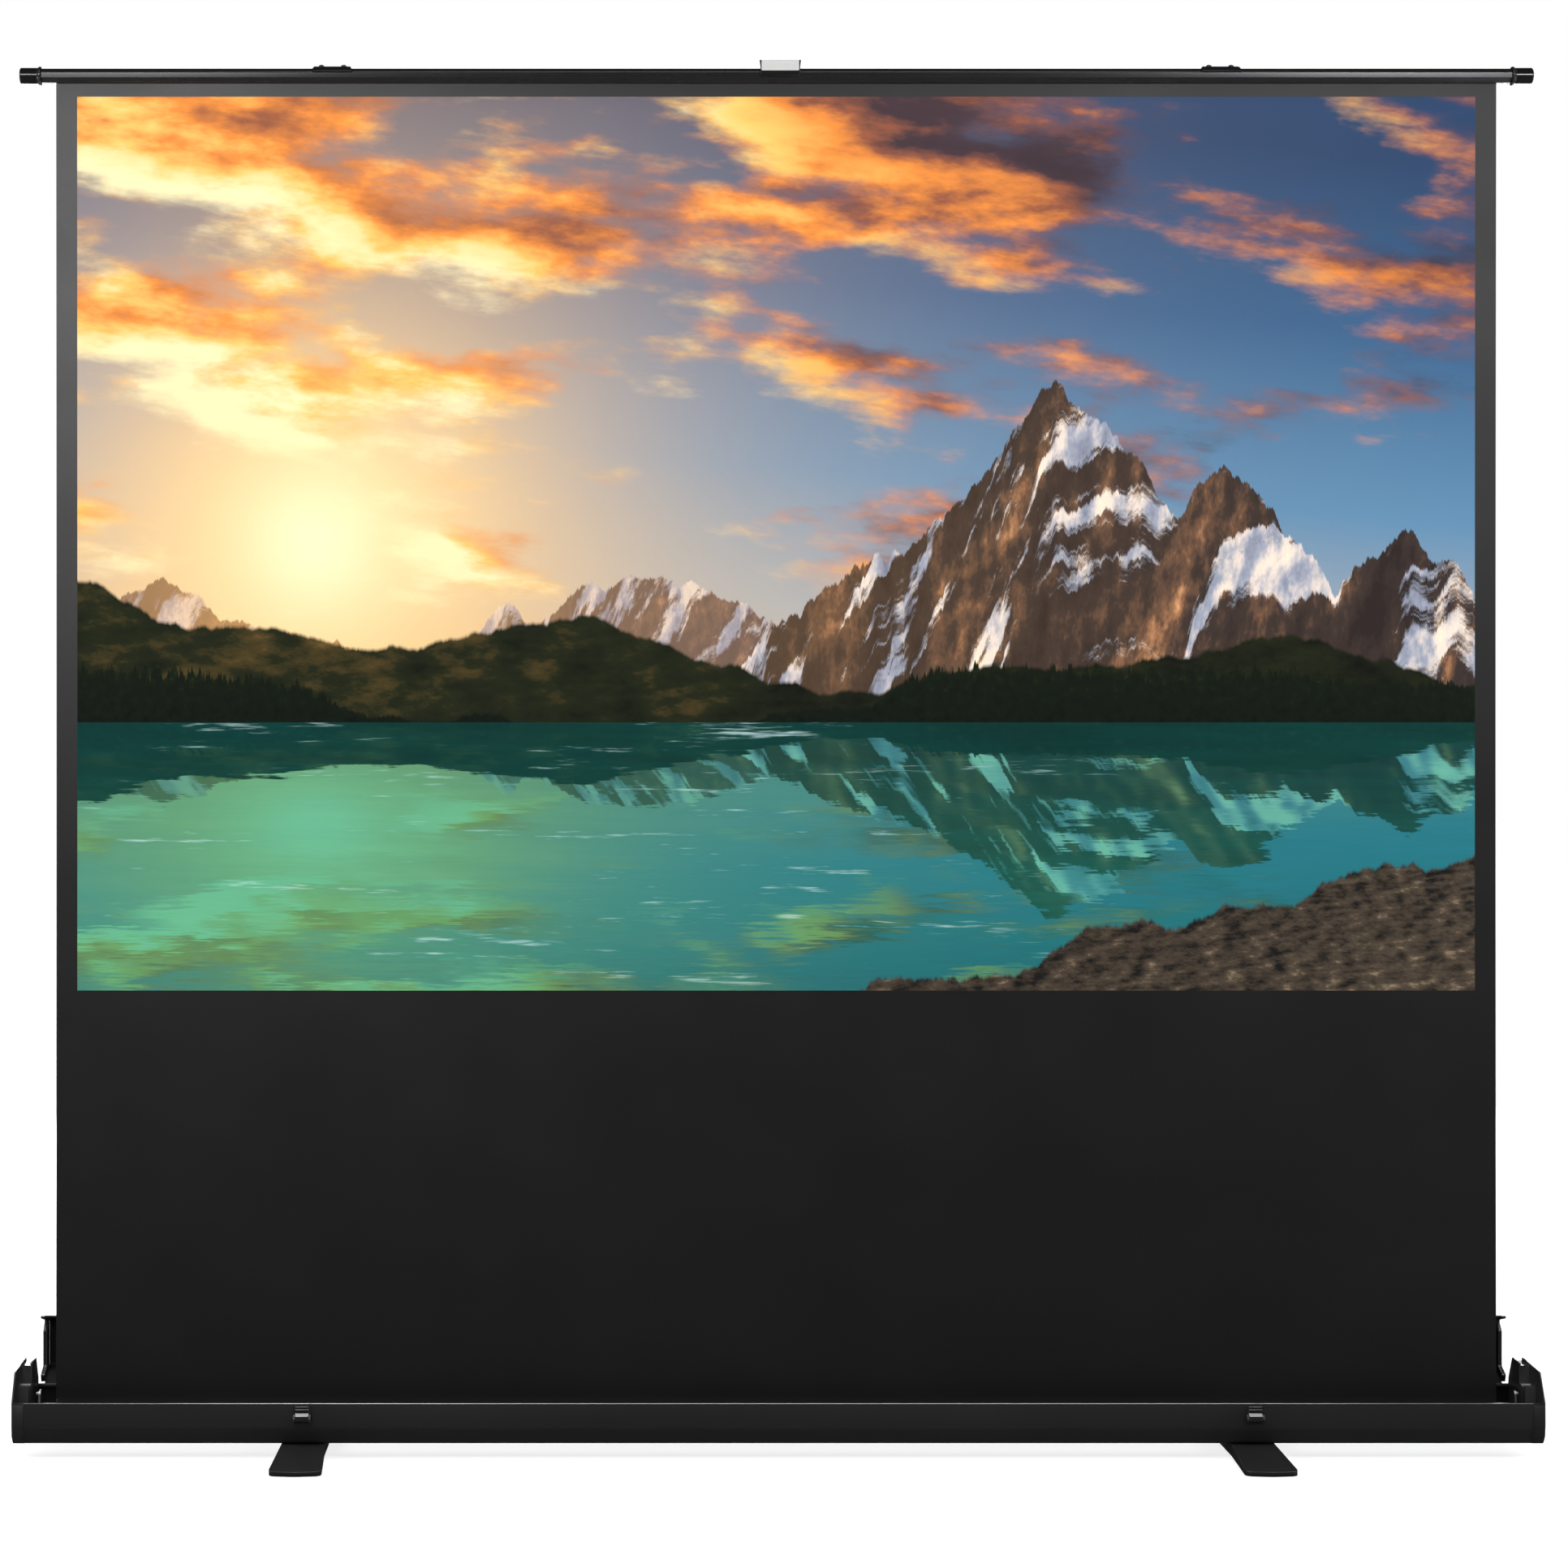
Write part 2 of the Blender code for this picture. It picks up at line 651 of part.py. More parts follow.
def end_cap(name, side, finish, carrier):
    outer_x = CASE_LENGTH / 2
    shape = prism(cap_outline(), CAP_INNER_X, outer_x)
    softened(shape, CAP_ROUND, keep=lambda edge: min(v.co.x for v in edge.verts) > CAP_POCKET_X)
    cutters = cap_cutters(outer_x + CUT_OVERRUN)
    recess = outer_x - CAP_SCREW_HEAD_HEIGHT - SEAT_GAP
    for y, z in (FRONT_BOSS, REAR_BOSS):
        shank = rod(BOSS_BORE, CAP_INNER_X - CUT_OVERRUN, outer_x, "X", SMALL_STEPS)
        head = rod(CAP_SCREW_HEAD_RADIUS + SEAT_GAP, recess, outer_x + CUT_OVERRUN, "X", SMALL_STEPS)
        cutters += [moved(shank, y=y, z=z), moved(head, y=y, z=z)]
    piece(name, mirrored(cut(shape, *cutters), side), finish, carrier)


def cap_screw(name, side, boss, finish, carrier):
    head_back = CASE_LENGTH / 2 - CAP_SCREW_HEAD_HEIGHT
    shank = BOSS_BORE - SEAT_GAP
    profile = (
        (head_back - CAP_SCREW_LENGTH, 0),
        (head_back - CAP_SCREW_LENGTH, shank),
        (head_back, shank),
        (head_back, CAP_SCREW_HEAD_RADIUS),
        (CASE_LENGTH / 2 - SEAT_GAP, CAP_SCREW_HEAD_RADIUS - SEAT_GAP),
        (CASE_LENGTH / 2 - SEAT_GAP, 0),
    )
    shape = mirrored(turned(profile, "X", SMALL_STEPS), side)
    piece(name, shape, finish, carrier, (0, *boss))


def lid_line(rounding):
    """The middle line of the open lid's sheet, from its hinge bead to the tip of its skirt."""
    corner_y = HINGE_Y + LID_CHAMFER_RUN
    corner_z = HINGE_Z + LID_CHAMFER_RISE
    tip = (corner_y - LID_SKIRT_RUN, corner_z + LID_FLAT + LID_SKIRT_RISE)
    points = [
        (HINGE_Y, HINGE_Z, 0),
        (corner_y, corner_z, rounding),
        (corner_y, corner_z + LID_FLAT, rounding),
        (*tip, 0),
    ]
    return rounded(points, closed=False)


def lid_panel(finish, carrier, hinge):
    line = lid_line(LID_BEND_RADIUS)
    chamfer = line[1] - line[0]
    slope = math.degrees(math.atan2(chamfer.y, chamfer.x))
    half_neck = math.degrees(math.asin(LID_WALL / 2 / HINGE_BEAD_RADIUS))
    neck = chamfer.normalized() * (HINGE_BEAD_RADIUS * math.cos(math.radians(half_neck)))
    sheet = [line[0] + neck] + line[1:]
    left = offset_path(sheet, LID_WALL / 2)
    right = offset_path(sheet, -LID_WALL / 2)
    bead = arc(line[0], HINGE_BEAD_RADIUS, slope + half_neck, slope + 360 - half_neck, 2 * BEND_STEPS)
    shape = prism(bead + right[1:] + left[1:][::-1], -LID_HALF, LID_HALF)
    tip = rod(LID_TIP_BEAD / 2, -LID_HALF + SEAT_GAP, LID_HALF - SEAT_GAP, "X", SMALL_STEPS)
    moved(tip, y=line[-1].x, z=line[-1].y)
    piece("lid_panel", moved(joined(shape, tip), *[-part for part in hinge]), finish, carrier)


def lid_end(name, side, finish, carrier, hinge):
    """The plate that closes one end of the lid, with a chamfered top corner under the skirt."""
    line = lid_line(0)
    chamfer = (line[1] - line[0]).normalized()
    skirt = (line[3] - line[2]).normalized()
    line[0] = line[0] + chamfer * (2 * SOCKET_OUTER)
    outer = offset_path(line, -LID_WALL / 2)
    front_y = line[1].x - LID_END_REACH
    low = line[0] + Vector((-chamfer.y, chamfer.x)) * LID_END_DEPTH
    knee = low + chamfer * ((front_y - low.x) / chamfer.x)
    under = Vector((-skirt.y, skirt.x)) * LID_END_LIP
    lip_root = line[2] + under - skirt * ((LID_END_REACH - LID_END_CHAMFER) / skirt.x)
    front = Vector((front_y, lip_root.y - LID_END_CHAMFER))
    inner = [line[3] + under, lip_root, front, knee, low]
    corners = [(*point, LID_END_LIP / 2) for point in outer] + [
        (*point, LID_END_LIP) for point in inner
    ]
    near = LID_HALF + SEAT_GAP
    shape = mirrored(prism(rounded(corners), near, near + LID_END_WIDTH), side)
    piece(name, moved(shape, *[-part for part in hinge]), finish, carrier)


def roller_bracket(name, side, bore, finish, carrier):
    """An upright plate with a foot on the case floor, the roller's bore and a pin in its ear."""
    half = ROLLER_BRACKET_WIDTH / 2
    foot_z = CASE_FLOOR + SEAT_GAP
    ear_z = ROLLER_Z + EAR_HEIGHT
    outline = rounded(
        [
            (ROLLER_Y - half, foot_z, 0),
            (ROLLER_Y + half, foot_z, 0),
            (ROLLER_Y + half * 3 / 4, ROLLER_Z + half / 2, half),
            (ROLLER_Y + EAR_RADIUS, ear_z + EAR_RADIUS, EAR_RADIUS),
            (ROLLER_Y - EAR_RADIUS, ear_z + EAR_RADIUS, EAR_RADIUS),
            (ROLLER_Y - half * 3 / 4, ROLLER_Z + half / 2, half),
        ]
    )
    near = ROLLER_BRACKET_X
    far = near + ROLLER_BRACKET_THICKNESS
    flange = prism(
        rectangle(near, ROLLER_Y - half, ROLLER_BRACKET_REACH, ROLLER_Y + half),
        foot_z, foot_z + ROLLER_BRACKET_THICKNESS, "Z",
    )
    pin = rod(EAR_PIN_RADIUS, near + SEAT_GAP, far + EAR_PIN_LENGTH, "X", SMALL_STEPS)
    shape = joined(prism(outline, near, far), flange, moved(pin, y=ROLLER_Y, z=ear_z))
    hole = rod(bore, near - CUT_OVERRUN, far + CUT_OVERRUN)
    shape = cut(shape, moved(hole, y=ROLLER_Y, z=ROLLER_Z))
    piece(name, mirrored(shape, side), finish, carrier)


def base_bracket(name, x, plate_y, finish, carrier):
    """An L-shaped arm bracket: a plate behind the arm and a foot that runs forward under it."""
    floor_z = CASE_FLOOR + SEAT_GAP
    half = BRACKET_WIDTH / 2
    top = BASE_PIVOT_Z + BRACKET_TOP_RADIUS
    section = [
        (plate_y + BRACKET_THICKNESS, top, 0),
        (plate_y, top, 0),
        (plate_y, floor_z + BRACKET_THICKNESS, BRACKET_THICKNESS),
        (plate_y + BRACKET_THICKNESS - BRACKET_FLANGE, floor_z + BRACKET_THICKNESS, 0),
        (plate_y + BRACKET_THICKNESS - BRACKET_FLANGE, floor_z, 0),
        (plate_y + BRACKET_THICKNESS, floor_z, BRACKET_THICKNESS),
    ]
    face = rounded(
        [
            (-half, floor_z - CUT_OVERRUN, 0),
            (half, floor_z - CUT_OVERRUN, 0),
            (half, floor_z + half / 2, half / 2),
            (BRACKET_TOP_RADIUS, BASE_PIVOT_Z, BRACKET_TOP_RADIUS / 2),
            (BRACKET_TOP_RADIUS * 3 / 4, top, BRACKET_TOP_RADIUS),
            (-BRACKET_TOP_RADIUS * 3 / 4, top, BRACKET_TOP_RADIUS),
            (-BRACKET_TOP_RADIUS, BASE_PIVOT_Z, BRACKET_TOP_RADIUS / 2),
            (-half, floor_z + half / 2, half / 2),
        ]
    )
    reach = BRACKET_FLANGE + CUT_OVERRUN
    shape = common(
        prism(rounded(section), -half - CUT_OVERRUN, half + CUT_OVERRUN),
        prism(face, plate_y - reach, plate_y + BRACKET_THICKNESS + CUT_OVERRUN, "Y"),
    )
    hole = rod(PIN_SEAT, plate_y - CUT_OVERRUN, plate_y + BRACKET_THICKNESS + CUT_OVERRUN, "Y")
    piece(name, cut(shape, moved(hole, z=BASE_PIVOT_Z)), finish, carrier, (x, 0, 0))


def pivot_pin(name, head_y, tip_y, finish, carrier, at):
    """A headed pin along Y. Its head lies beyond head_y, on the side away from the tip."""
    outward = math.copysign(1, head_y - tip_y)
    head_seat = head_y + outward * SEAT_GAP
    head_top = head_seat + outward * PIN_HEAD_HEIGHT
    profile = (
        (tip_y, 0),
        (tip_y, PIN_RADIUS),
        (head_seat, PIN_RADIUS),
        (head_seat, PIN_HEAD_RADIUS),
        (head_top - outward * PIN_HEAD_HEIGHT / 2, PIN_HEAD_RADIUS),
        (head_top, PIN_HEAD_RADIUS - PIN_HEAD_HEIGHT / 2),
        (head_top, 0),
    )
    piece(name, turned(profile, "Y"), finish, carrier, at)


def arm(name, direction, layer_y, finish, carrier):
    """A flat arm from its pivot at the origin to its far pivot, grooved on both faces."""
    half = ARM_HEIGHT / 2
    outline = arc((ARM_LENGTH, 0), half, -90, 90, 2 * BEND_STEPS)
    outline += arc((0, 0), half, 90, 270, 2 * BEND_STEPS)
    back_y = layer_y + ARM_THICKNESS
    shape = prism(outline, layer_y, back_y, "Y")
    groove_round = ARM_GROOVE_HEIGHT / 2
    start = ARM_GROOVE_MARGIN + groove_round
    groove = arc((ARM_LENGTH - start, 0), groove_round, -90, 90, BEND_STEPS)
    groove += arc((start, 0), groove_round, 90, 270, BEND_STEPS)
    front_groove = prism(groove, layer_y - CUT_OVERRUN, layer_y + ARM_GROOVE_DEPTH, "Y")
    back_groove = prism(groove, back_y - ARM_GROOVE_DEPTH, back_y + CUT_OVERRUN, "Y")
    bore = rod(PIN_BORE, layer_y - CUT_OVERRUN, back_y + CUT_OVERRUN, "Y")
    far_bore = rod(PIN_BORE, layer_y - CUT_OVERRUN, back_y + CUT_OVERRUN, "Y")
    shape = cut(shape, front_groove, back_groove, bore, moved(far_bore, x=ARM_LENGTH))
    piece(name, mirrored(shape, direction), finish, carrier)


def knee_washer(name, front_y, finish, carrier, at):
    start = front_y + SEAT_GAP
    end = front_y + ARM_GAP - SEAT_GAP
    piece(name, ring(PIN_BORE, WASHER_RADIUS, start, end, "Y"), finish, carrier, at)


def bar_profile():
    """The top bar's section about its middle: round top, flat front facet, rod pocket below."""
    facet_top = FACET_HEIGHT * 2 / 5
    facet_low = facet_top - FACET_HEIGHT
    facet_y = -BAR_RADIUS + FACET_STEP
    edge_angle = 180 - math.degrees(math.asin((facet_top + FACET_STEP) / BAR_RADIUS))
    slot = BAR_SLOT_WIDTH / 2
    pocket_angle = math.degrees(math.asin(slot / ROD_POCKET_RADIUS))
    lip = ROD_POCKET_RADIUS + slot
    outline = arc((0, 0), BAR_RADIUS, 0, edge_angle, 2 * BEND_STEPS)
    outline += [Vector((facet_y, facet_top)), Vector((facet_y, facet_low))]
    outline += [Vector((-lip, -BAR_RADIUS)), Vector((-slot, -BAR_RADIUS))]
    outline += arc(
        (0, -ROD_POCKET_DROP), ROD_POCKET_RADIUS, 270 - pocket_angle, -90 + pocket_angle, 2 * BEND_STEPS
    )
    outline += [Vector((slot, -BAR_RADIUS)), Vector((lip, -BAR_RADIUS))]
    outline += [Vector((BAR_RADIUS, facet_low))]
    return outline


def top_bar(finish, carrier, at):
    reach = BAR_HALF + CUT_OVERRUN
    shape = prism(bar_profile(), -BAR_HALF, BAR_HALF)
    cutters = [moved(rod(BAR_HOLE_RADIUS, -reach, reach), z=BAR_HOLE_RISE)]
    for x in saddle_screw_places():
        hole = rod(SCREW_SHANK_RADIUS + SEAT_GAP, BAR_HOLE_RISE, BAR_RADIUS + CUT_OVERRUN, "Z", SMALL_STEPS)
        cutters.append(moved(hole, x=x))
    piece("top_bar", cut(shape, *cutters), finish, carrier, at)


def saddle_screw_places():
    half = SADDLE_SCREW_SPACING / 2
    return [side * ARM_PIVOT_X + step for side in (-1, 1) for step in (-half, half)]


def bar_end(name, side, finish, carrier, at):
    """A bar end cap: collar, barrel with a slightly domed end, and a plug inside the bar."""
    start = BAR_HALF + SEAT_GAP
    dome_start = BAR_END_X - BAR_END_DOME
    profile = (
        (start, 0),
        (start, BAR_COLLAR_RADIUS - SEAT_GAP),
        (start + SEAT_GAP, BAR_COLLAR_RADIUS),
        (start + BAR_COLLAR_WIDTH / 2, BAR_COLLAR_RADIUS),
        (start + BAR_COLLAR_WIDTH, BAR_END_RADIUS),
        (dome_start, BAR_END_RADIUS),
        (BAR_END_X - BAR_END_DOME / 4, BAR_END_RADIUS - BAR_END_DOME),
        (BAR_END_X, BAR_END_RADIUS / 2),
        (BAR_END_X, 0),
    )
    plug = rod(
        BAR_HOLE_RADIUS - SEAT_GAP, start - BAR_PLUG_LENGTH, start + BAR_COLLAR_WIDTH, "X", SMALL_STEPS
    )
    shape = joined(turned(profile, "X"), moved(plug, z=BAR_HOLE_RISE))
    piece(name, mirrored(shape, side), finish, carrier, at)


def saddle_section(tongue_y):
    """The saddle's bent sheet, over the bar and down its back to the tongue at tongue_y."""
    middle = BAR_BACK + SADDLE_THICKNESS / 2
    over = arc((0, 0), middle, SADDLE_FRONT_ANGLE, 0, 2 * BEND_STEPS)
    step_z = -BAR_RADIUS - TONGUE_STEP_DROP
    foot_z = -PIVOT_DROP - TONGUE_WIDTH
    tongue_middle = tongue_y + SADDLE_THICKNESS / 2
    if tongue_middle - middle < SADDLE_THICKNESS:
        return thick_path(over + [Vector((middle, foot_z))], SADDLE_THICKNESS)
    bend = SADDLE_THICKNESS
    down = rounded(
        [
            (middle, 0, 0),
            (middle, step_z, bend),
            (tongue_middle, step_z, bend),
            (tongue_middle, foot_z, 0),
        ],
        closed=False,
    )
    return thick_path(over + down[1:], SADDLE_THICKNESS)


def arm_saddle(name, x, tongue_y, finish, carrier, at):
    half = SADDLE_LENGTH / 2
    tongue = TONGUE_WIDTH / 2
    top = BAR_BACK + SADDLE_THICKNESS + CUT_OVERRUN
    waist = -BAR_RADIUS
    face = rounded(
        [
            (-half, waist + tongue / 2, SADDLE_END_TAPER),
            (-tongue, waist, SADDLE_END_TAPER),
            (-tongue, -PIVOT_DROP - tongue, tongue * 9 / 10),
            (tongue, -PIVOT_DROP - tongue, tongue * 9 / 10),
            (tongue, waist, SADDLE_END_TAPER),
            (half, waist + tongue / 2, SADDLE_END_TAPER),
            (half, top - 2 * SADDLE_END_TAPER, 0),
            (half - SADDLE_END_TAPER, top, 0),
            (-half + SADDLE_END_TAPER, top, 0),
            (-half, top - 2 * SADDLE_END_TAPER, 0),
        ]
    )
    back_y = tongue_y + SADDLE_THICKNESS
    shape = common(
        prism(saddle_section(tongue_y), -half - CUT_OVERRUN, half + CUT_OVERRUN),
        prism(face, -top - CUT_OVERRUN, back_y + CUT_OVERRUN, "Y"),
    )
    bore = rod(PIN_BORE, tongue_y - CUT_OVERRUN, back_y + CUT_OVERRUN, "Y")
    cutters = [moved(bore, z=-PIVOT_DROP)]
    for step in (-SADDLE_SCREW_SPACING / 2, SADDLE_SCREW_SPACING / 2):
        hole = rod(SCREW_SHANK_RADIUS + SEAT_GAP, 0, top, "Z", SMALL_STEPS)
        cutters.append(moved(hole, x=step))
    piece(name, cut(shape, *cutters), finish, carrier, (at[0] + x, at[1], at[2]))


def saddle_screw(name, x, finish, carrier, at):
    seat = BAR_BACK + SADDLE_THICKNESS + SEAT_GAP
    profile = (
        (BAR_HOLE_RISE, 0),
        (BAR_HOLE_RISE, SCREW_SHANK_RADIUS),
        (seat, SCREW_SHANK_RADIUS),
        (seat, SCREW_HEAD_RADIUS),
        (seat + SCREW_DOME_HEIGHT / 2, SCREW_HEAD_RADIUS * 9 / 10),
        (seat + SCREW_DOME_HEIGHT, SCREW_HEAD_RADIUS / 2),
        (seat + SCREW_DOME_HEIGHT, 0),
    )
    shape = turned(profile, "Z", SMALL_STEPS)
    piece(name, shape, finish, carrier, (at[0] + x, at[1], at[2]))


def pull_handle(finish, carrier, at):
    """A plate in front of the bar with a shallow label recess, hooked over the bar's top."""
    half = HANDLE_WIDTH / 2
    back = -BAR_BACK
    front = back - HANDLE_THICKNESS
    top = BAR_RADIUS + HANDLE_RISE
    low = -HANDLE_DROP
    corner_round = 2 * HANDLE_POST
    plate = rounded(
        [
            (-half + HANDLE_POST / 2, low, corner_round),
            (half - HANDLE_POST / 2, low, corner_round),
            (half - HANDLE_POST / 2, BAR_RADIUS, 0),
            (half, top, 0),
            (half - HANDLE_POST, top, 0),
            (half - HANDLE_POST, top - SEAT_GAP, 0),
            (-half + HANDLE_POST, top - SEAT_GAP, 0),
            (-half + HANDLE_POST, top, 0),
            (-half, top, 0),
            (-half + HANDLE_POST / 2, BAR_RADIUS, 0),
        ]
    )
    hook_line = arc((0, 0), BAR_BACK + HANDLE_HOOK_THICKNESS / 2, 163, 20, 2 * BEND_STEPS)
    hook = prism(
        thick_path(hook_line, HANDLE_HOOK_THICKNESS), -HANDLE_HOOK_WIDTH / 2, HANDLE_HOOK_WIDTH / 2
    )
    recess = box(
        (-half + HANDLE_POST, front - CUT_OVERRUN, top - HANDLE_PAD_HEIGHT),
        (half - HANDLE_POST, front + HANDLE_PAD_DEPTH, top + CUT_OVERRUN),
    )
    shape = cut(joined(prism(plate, front, back, "Y"), hook), recess)
    piece("pull_handle", shape, finish, carrier, (at[0] + HANDLE_OFFSET, at[1], at[2]))


def roller_tube(finish, carrier):
    shape = ring(TUBE_RADIUS - TUBE_WALL, TUBE_RADIUS, -TUBE_HALF, TUBE_HALF, "X", TUBE_STEPS)
    piece("roller_tube", shape, finish, carrier)


def roller_plug_left(finish, carrier):
    """The plug at -X, whose gudgeon turns in its bracket. Built at +X and turned over."""
    inside = TUBE_RADIUS - TUBE_WALL - SEAT_GAP
    start = TUBE_HALF + SEAT_GAP
    tip = ROLLER_BRACKET_X + ROLLER_BRACKET_THICKNESS + GUDGEON_REACH
    profile = (
        (TUBE_HALF - PLUG_DEPTH, 0),
        (TUBE_HALF - PLUG_DEPTH, inside - SEAT_GAP),
        (start, inside),
        (start, TUBE_RADIUS),
        (start + PLUG_FLANGE, TUBE_RADIUS),
        (start + PLUG_FLANGE, PLUG_HUB_RADIUS),
        (ROLLER_BRACKET_X - SEAT_GAP, PLUG_HUB_RADIUS * 3 / 4),
        (ROLLER_BRACKET_X - SEAT_GAP, GUDGEON_RADIUS),
        (tip - SEAT_GAP, GUDGEON_RADIUS),
        (tip, GUDGEON_RADIUS - SEAT_GAP),
        (tip, 0),
    )
    piece("roller_plug_left", mirrored(turned(profile, "X"), -1), finish, carrier)


def roller_plug_right(finish, carrier):
    """The plug at +X, bored to turn on the fixed spring shaft."""
    inside = TUBE_RADIUS - TUBE_WALL - SEAT_GAP
    start = TUBE_HALF + SEAT_GAP
    bore = SHAFT_RADIUS + RUN_GAP
    profile = (
        (TUBE_HALF - PLUG_DEPTH, bore),
        (TUBE_HALF - PLUG_DEPTH, inside - SEAT_GAP),
        (start, inside),
        (start, TUBE_RADIUS),
        (start + PLUG_FLANGE, TUBE_RADIUS),
        (start + PLUG_FLANGE, PLUG_HUB_RADIUS),
        (ROLLER_BRACKET_X - SEAT_GAP, PLUG_HUB_RADIUS * 3 / 4),
        (ROLLER_BRACKET_X - SEAT_GAP, bore),
    )
    piece("roller_plug_right", turned(profile, "X", closed=True), finish, carrier)


def spring_shaft(finish, carrier):
    """The fixed shaft that passes through the right plug into the tube, headed at its bracket."""
    bracket_back = ROLLER_BRACKET_X + ROLLER_BRACKET_THICKNESS + SEAT_GAP
    profile = (
        (ROLLER_BRACKET_X - SHAFT_INSIDE, 0),
        (ROLLER_BRACKET_X - SHAFT_INSIDE, SHAFT_RADIUS),
        (bracket_back, SHAFT_RADIUS),
        (bracket_back, GUDGEON_RADIUS),
        (bracket_back + GUDGEON_REACH, GUDGEON_RADIUS),
        (bracket_back + GUDGEON_REACH, 0),
    )
    piece("spring_shaft", turned(profile, "X", SMALL_STEPS), finish, carrier, (0, ROLLER_Y, ROLLER_Z))


def roller_spring(finish, carrier):
    """The torsion spring round the shaft, one unbroken wire."""
    start = TUBE_HALF - PLUG_DEPTH - SEAT_GAP - SPRING_WIRE - SPRING_LENGTH
    points = []
    for step in range(SPRING_TURNS * SPRING_STEPS + 1):
        angle = math.tau * step / SPRING_STEPS
        along = start + SPRING_LENGTH * step / (SPRING_TURNS * SPRING_STEPS)
        points.append((along, SPRING_RADIUS * math.cos(angle), SPRING_RADIUS * math.sin(angle)))
    print(f"roller spring: least gap {SPRING_LENGTH / SPRING_TURNS - 2 * SPRING_WIRE:.4f} m")
    curve = bpy.data.curves.new("roller_spring", "CURVE")
    curve.dimensions = "3D"
    curve.bevel_depth = SPRING_WIRE
    curve.bevel_resolution = 0
    curve.use_fill_caps = True
    spline = curve.splines.new("POLY")
    spline.points.add(len(points) - 1)
    for place, point in zip(spline.points, points):
        place.co = (*point, 1)
    curve.materials.append(finish)
    item = bpy.data.objects.new("roller_spring", curve)
    item.parent = carrier
    bpy.context.scene.collection.objects.link(item)


def spiral(offset):
    """Points of the wound fabric's face, out to the place where it leaves the roll."""
    steps = WOUND_TURNS * TUBE_STEPS
    points = []
    for step in range(steps + 1):
        angle = math.tau * (step - steps) / TUBE_STEPS
        radius = WOUND_START + WOUND_PITCH * step / TUBE_STEPS + offset
        points.append(Vector((math.cos(angle), math.sin(angle))) * radius)
    return points


def wound_fabric(finish, carrier):
    outer = spiral(FABRIC_THICKNESS / 2)
    inner = spiral(-FABRIC_THICKNESS / 2)
    nearest = min(
        (far - near).length for near, far in zip(outer, inner[TUBE_STEPS:])
    )
    print(f"wound fabric: least gap {nearest:.4f} m")
    shape = prism(outer + inner[::-1], -FABRIC_WIDTH / 2, FABRIC_WIDTH / 2)
    piece("wound_fabric", shape, finish, carrier)


def screen_fabric(finish, carrier):
    """The raised sheet, from the roll to the rod in the top bar."""
    half = FABRIC_THICKNESS / 2
    rod_bottom = BAR_Z - ROD_POCKET_DROP - ROD_RADIUS
    sheet = rectangle(-half, ROLLER_Z + SEAT_GAP, half, rod_bottom - SEAT_GAP)
    piece("screen_fabric", prism(sheet, -FABRIC_WIDTH / 2, FABRIC_WIDTH / 2), finish, carrier)


def fabric_rod(finish, carrier, at):
    half = FABRIC_WIDTH / 2
    shape = moved(rod(ROD_RADIUS, -half, half, "X", SMALL_STEPS), z=-ROD_POCKET_DROP)
    piece("fabric_rod", shape, finish, carrier, at)


def foot_plan():
    """A foot seen from above: narrow at the case, wider and slightly bowed at both tips."""
    near = FOOT_WIDTH / 2
    far = FOOT_TIP_WIDTH / 2
    end = FOOT_REACH - FOOT_END_BULGE
    quarter = [
        (near, 0, 0),
        (near, FOOT_HUB_REACH, FOOT_HUB_REACH),
        (far, end, FOOT_CORNER_RADIUS),
        (0, FOOT_REACH, FOOT_TIP_WIDTH),
    ]
    upper = quarter + [(-x, y, r) for x, y, r in quarter[-2:0:-1]]
    lower = [(-x, -y, r) for x, y, r in upper]
    return rounded(upper + lower)


def foot_side():
    """A foot seen from the side: full height under the case, thin at the tips."""
    top = FOOT_HUB_HEIGHT
    return rounded(
        [
            (-FOOT_REACH, FOOT_LIFT, 0),
            (FOOT_REACH, FOOT_LIFT, 0),
            (FOOT_REACH, FOOT_TIP_HEIGHT, FOOT_TIP_HEIGHT / 4),
            (FOOT_HUB_REACH, top, FOOT_HUB_REACH / 2),
            (-FOOT_HUB_REACH, top, FOOT_HUB_REACH / 2),
            (-FOOT_REACH, FOOT_TIP_HEIGHT, FOOT_TIP_HEIGHT / 4),
        ]
    )


def pad_places():
    return (-FOOT_REACH + PAD_INSET, FOOT_REACH - PAD_INSET)


def foot(name, finish, carrier):
    half = FOOT_TIP_WIDTH
    shape = common(
        prism(foot_side(), -half, half),
        prism(foot_plan(), -CUT_OVERRUN, FOOT_HUB_HEIGHT + CUT_OVERRUN, "Z"),
    )
    softened(shape, FOOT_LIFT, 35, keep=lambda edge: min(v.co.z for v in edge.verts) > FOOT_LIFT * 2)
    head_top = FOOT_LIFT + FOOT_PIVOT_HEAD_HEIGHT + 2 * SEAT_GAP
    cutters = [
        rod(FOOT_PIVOT_RADIUS + RUN_GAP, 0, FOOT_HUB_HEIGHT + CUT_OVERRUN, "Z"),
        rod(FOOT_PIVOT_HEAD_RADIUS + RUN_GAP, 0, head_top, "Z"),
    ]
    for y in pad_places():
        outline = slab(
            PAD_LENGTH + 2 * SEAT_GAP, PAD_WIDTH + 2 * SEAT_GAP, PAD_CORNER_RADIUS + SEAT_GAP
        )
        cutters.append(moved(prism(outline, 0, PAD_HEIGHT + SEAT_GAP, "Z"), y=y))
    piece(name, cut(shape, *cutters), finish, carrier)


def foot_pad(name, y, finish, carrier):
    outline = slab(PAD_LENGTH, PAD_WIDTH, PAD_CORNER_RADIUS)
    piece(name, prism(outline, 0, PAD_HEIGHT, "Z"), finish, carrier, (0, y, 0))


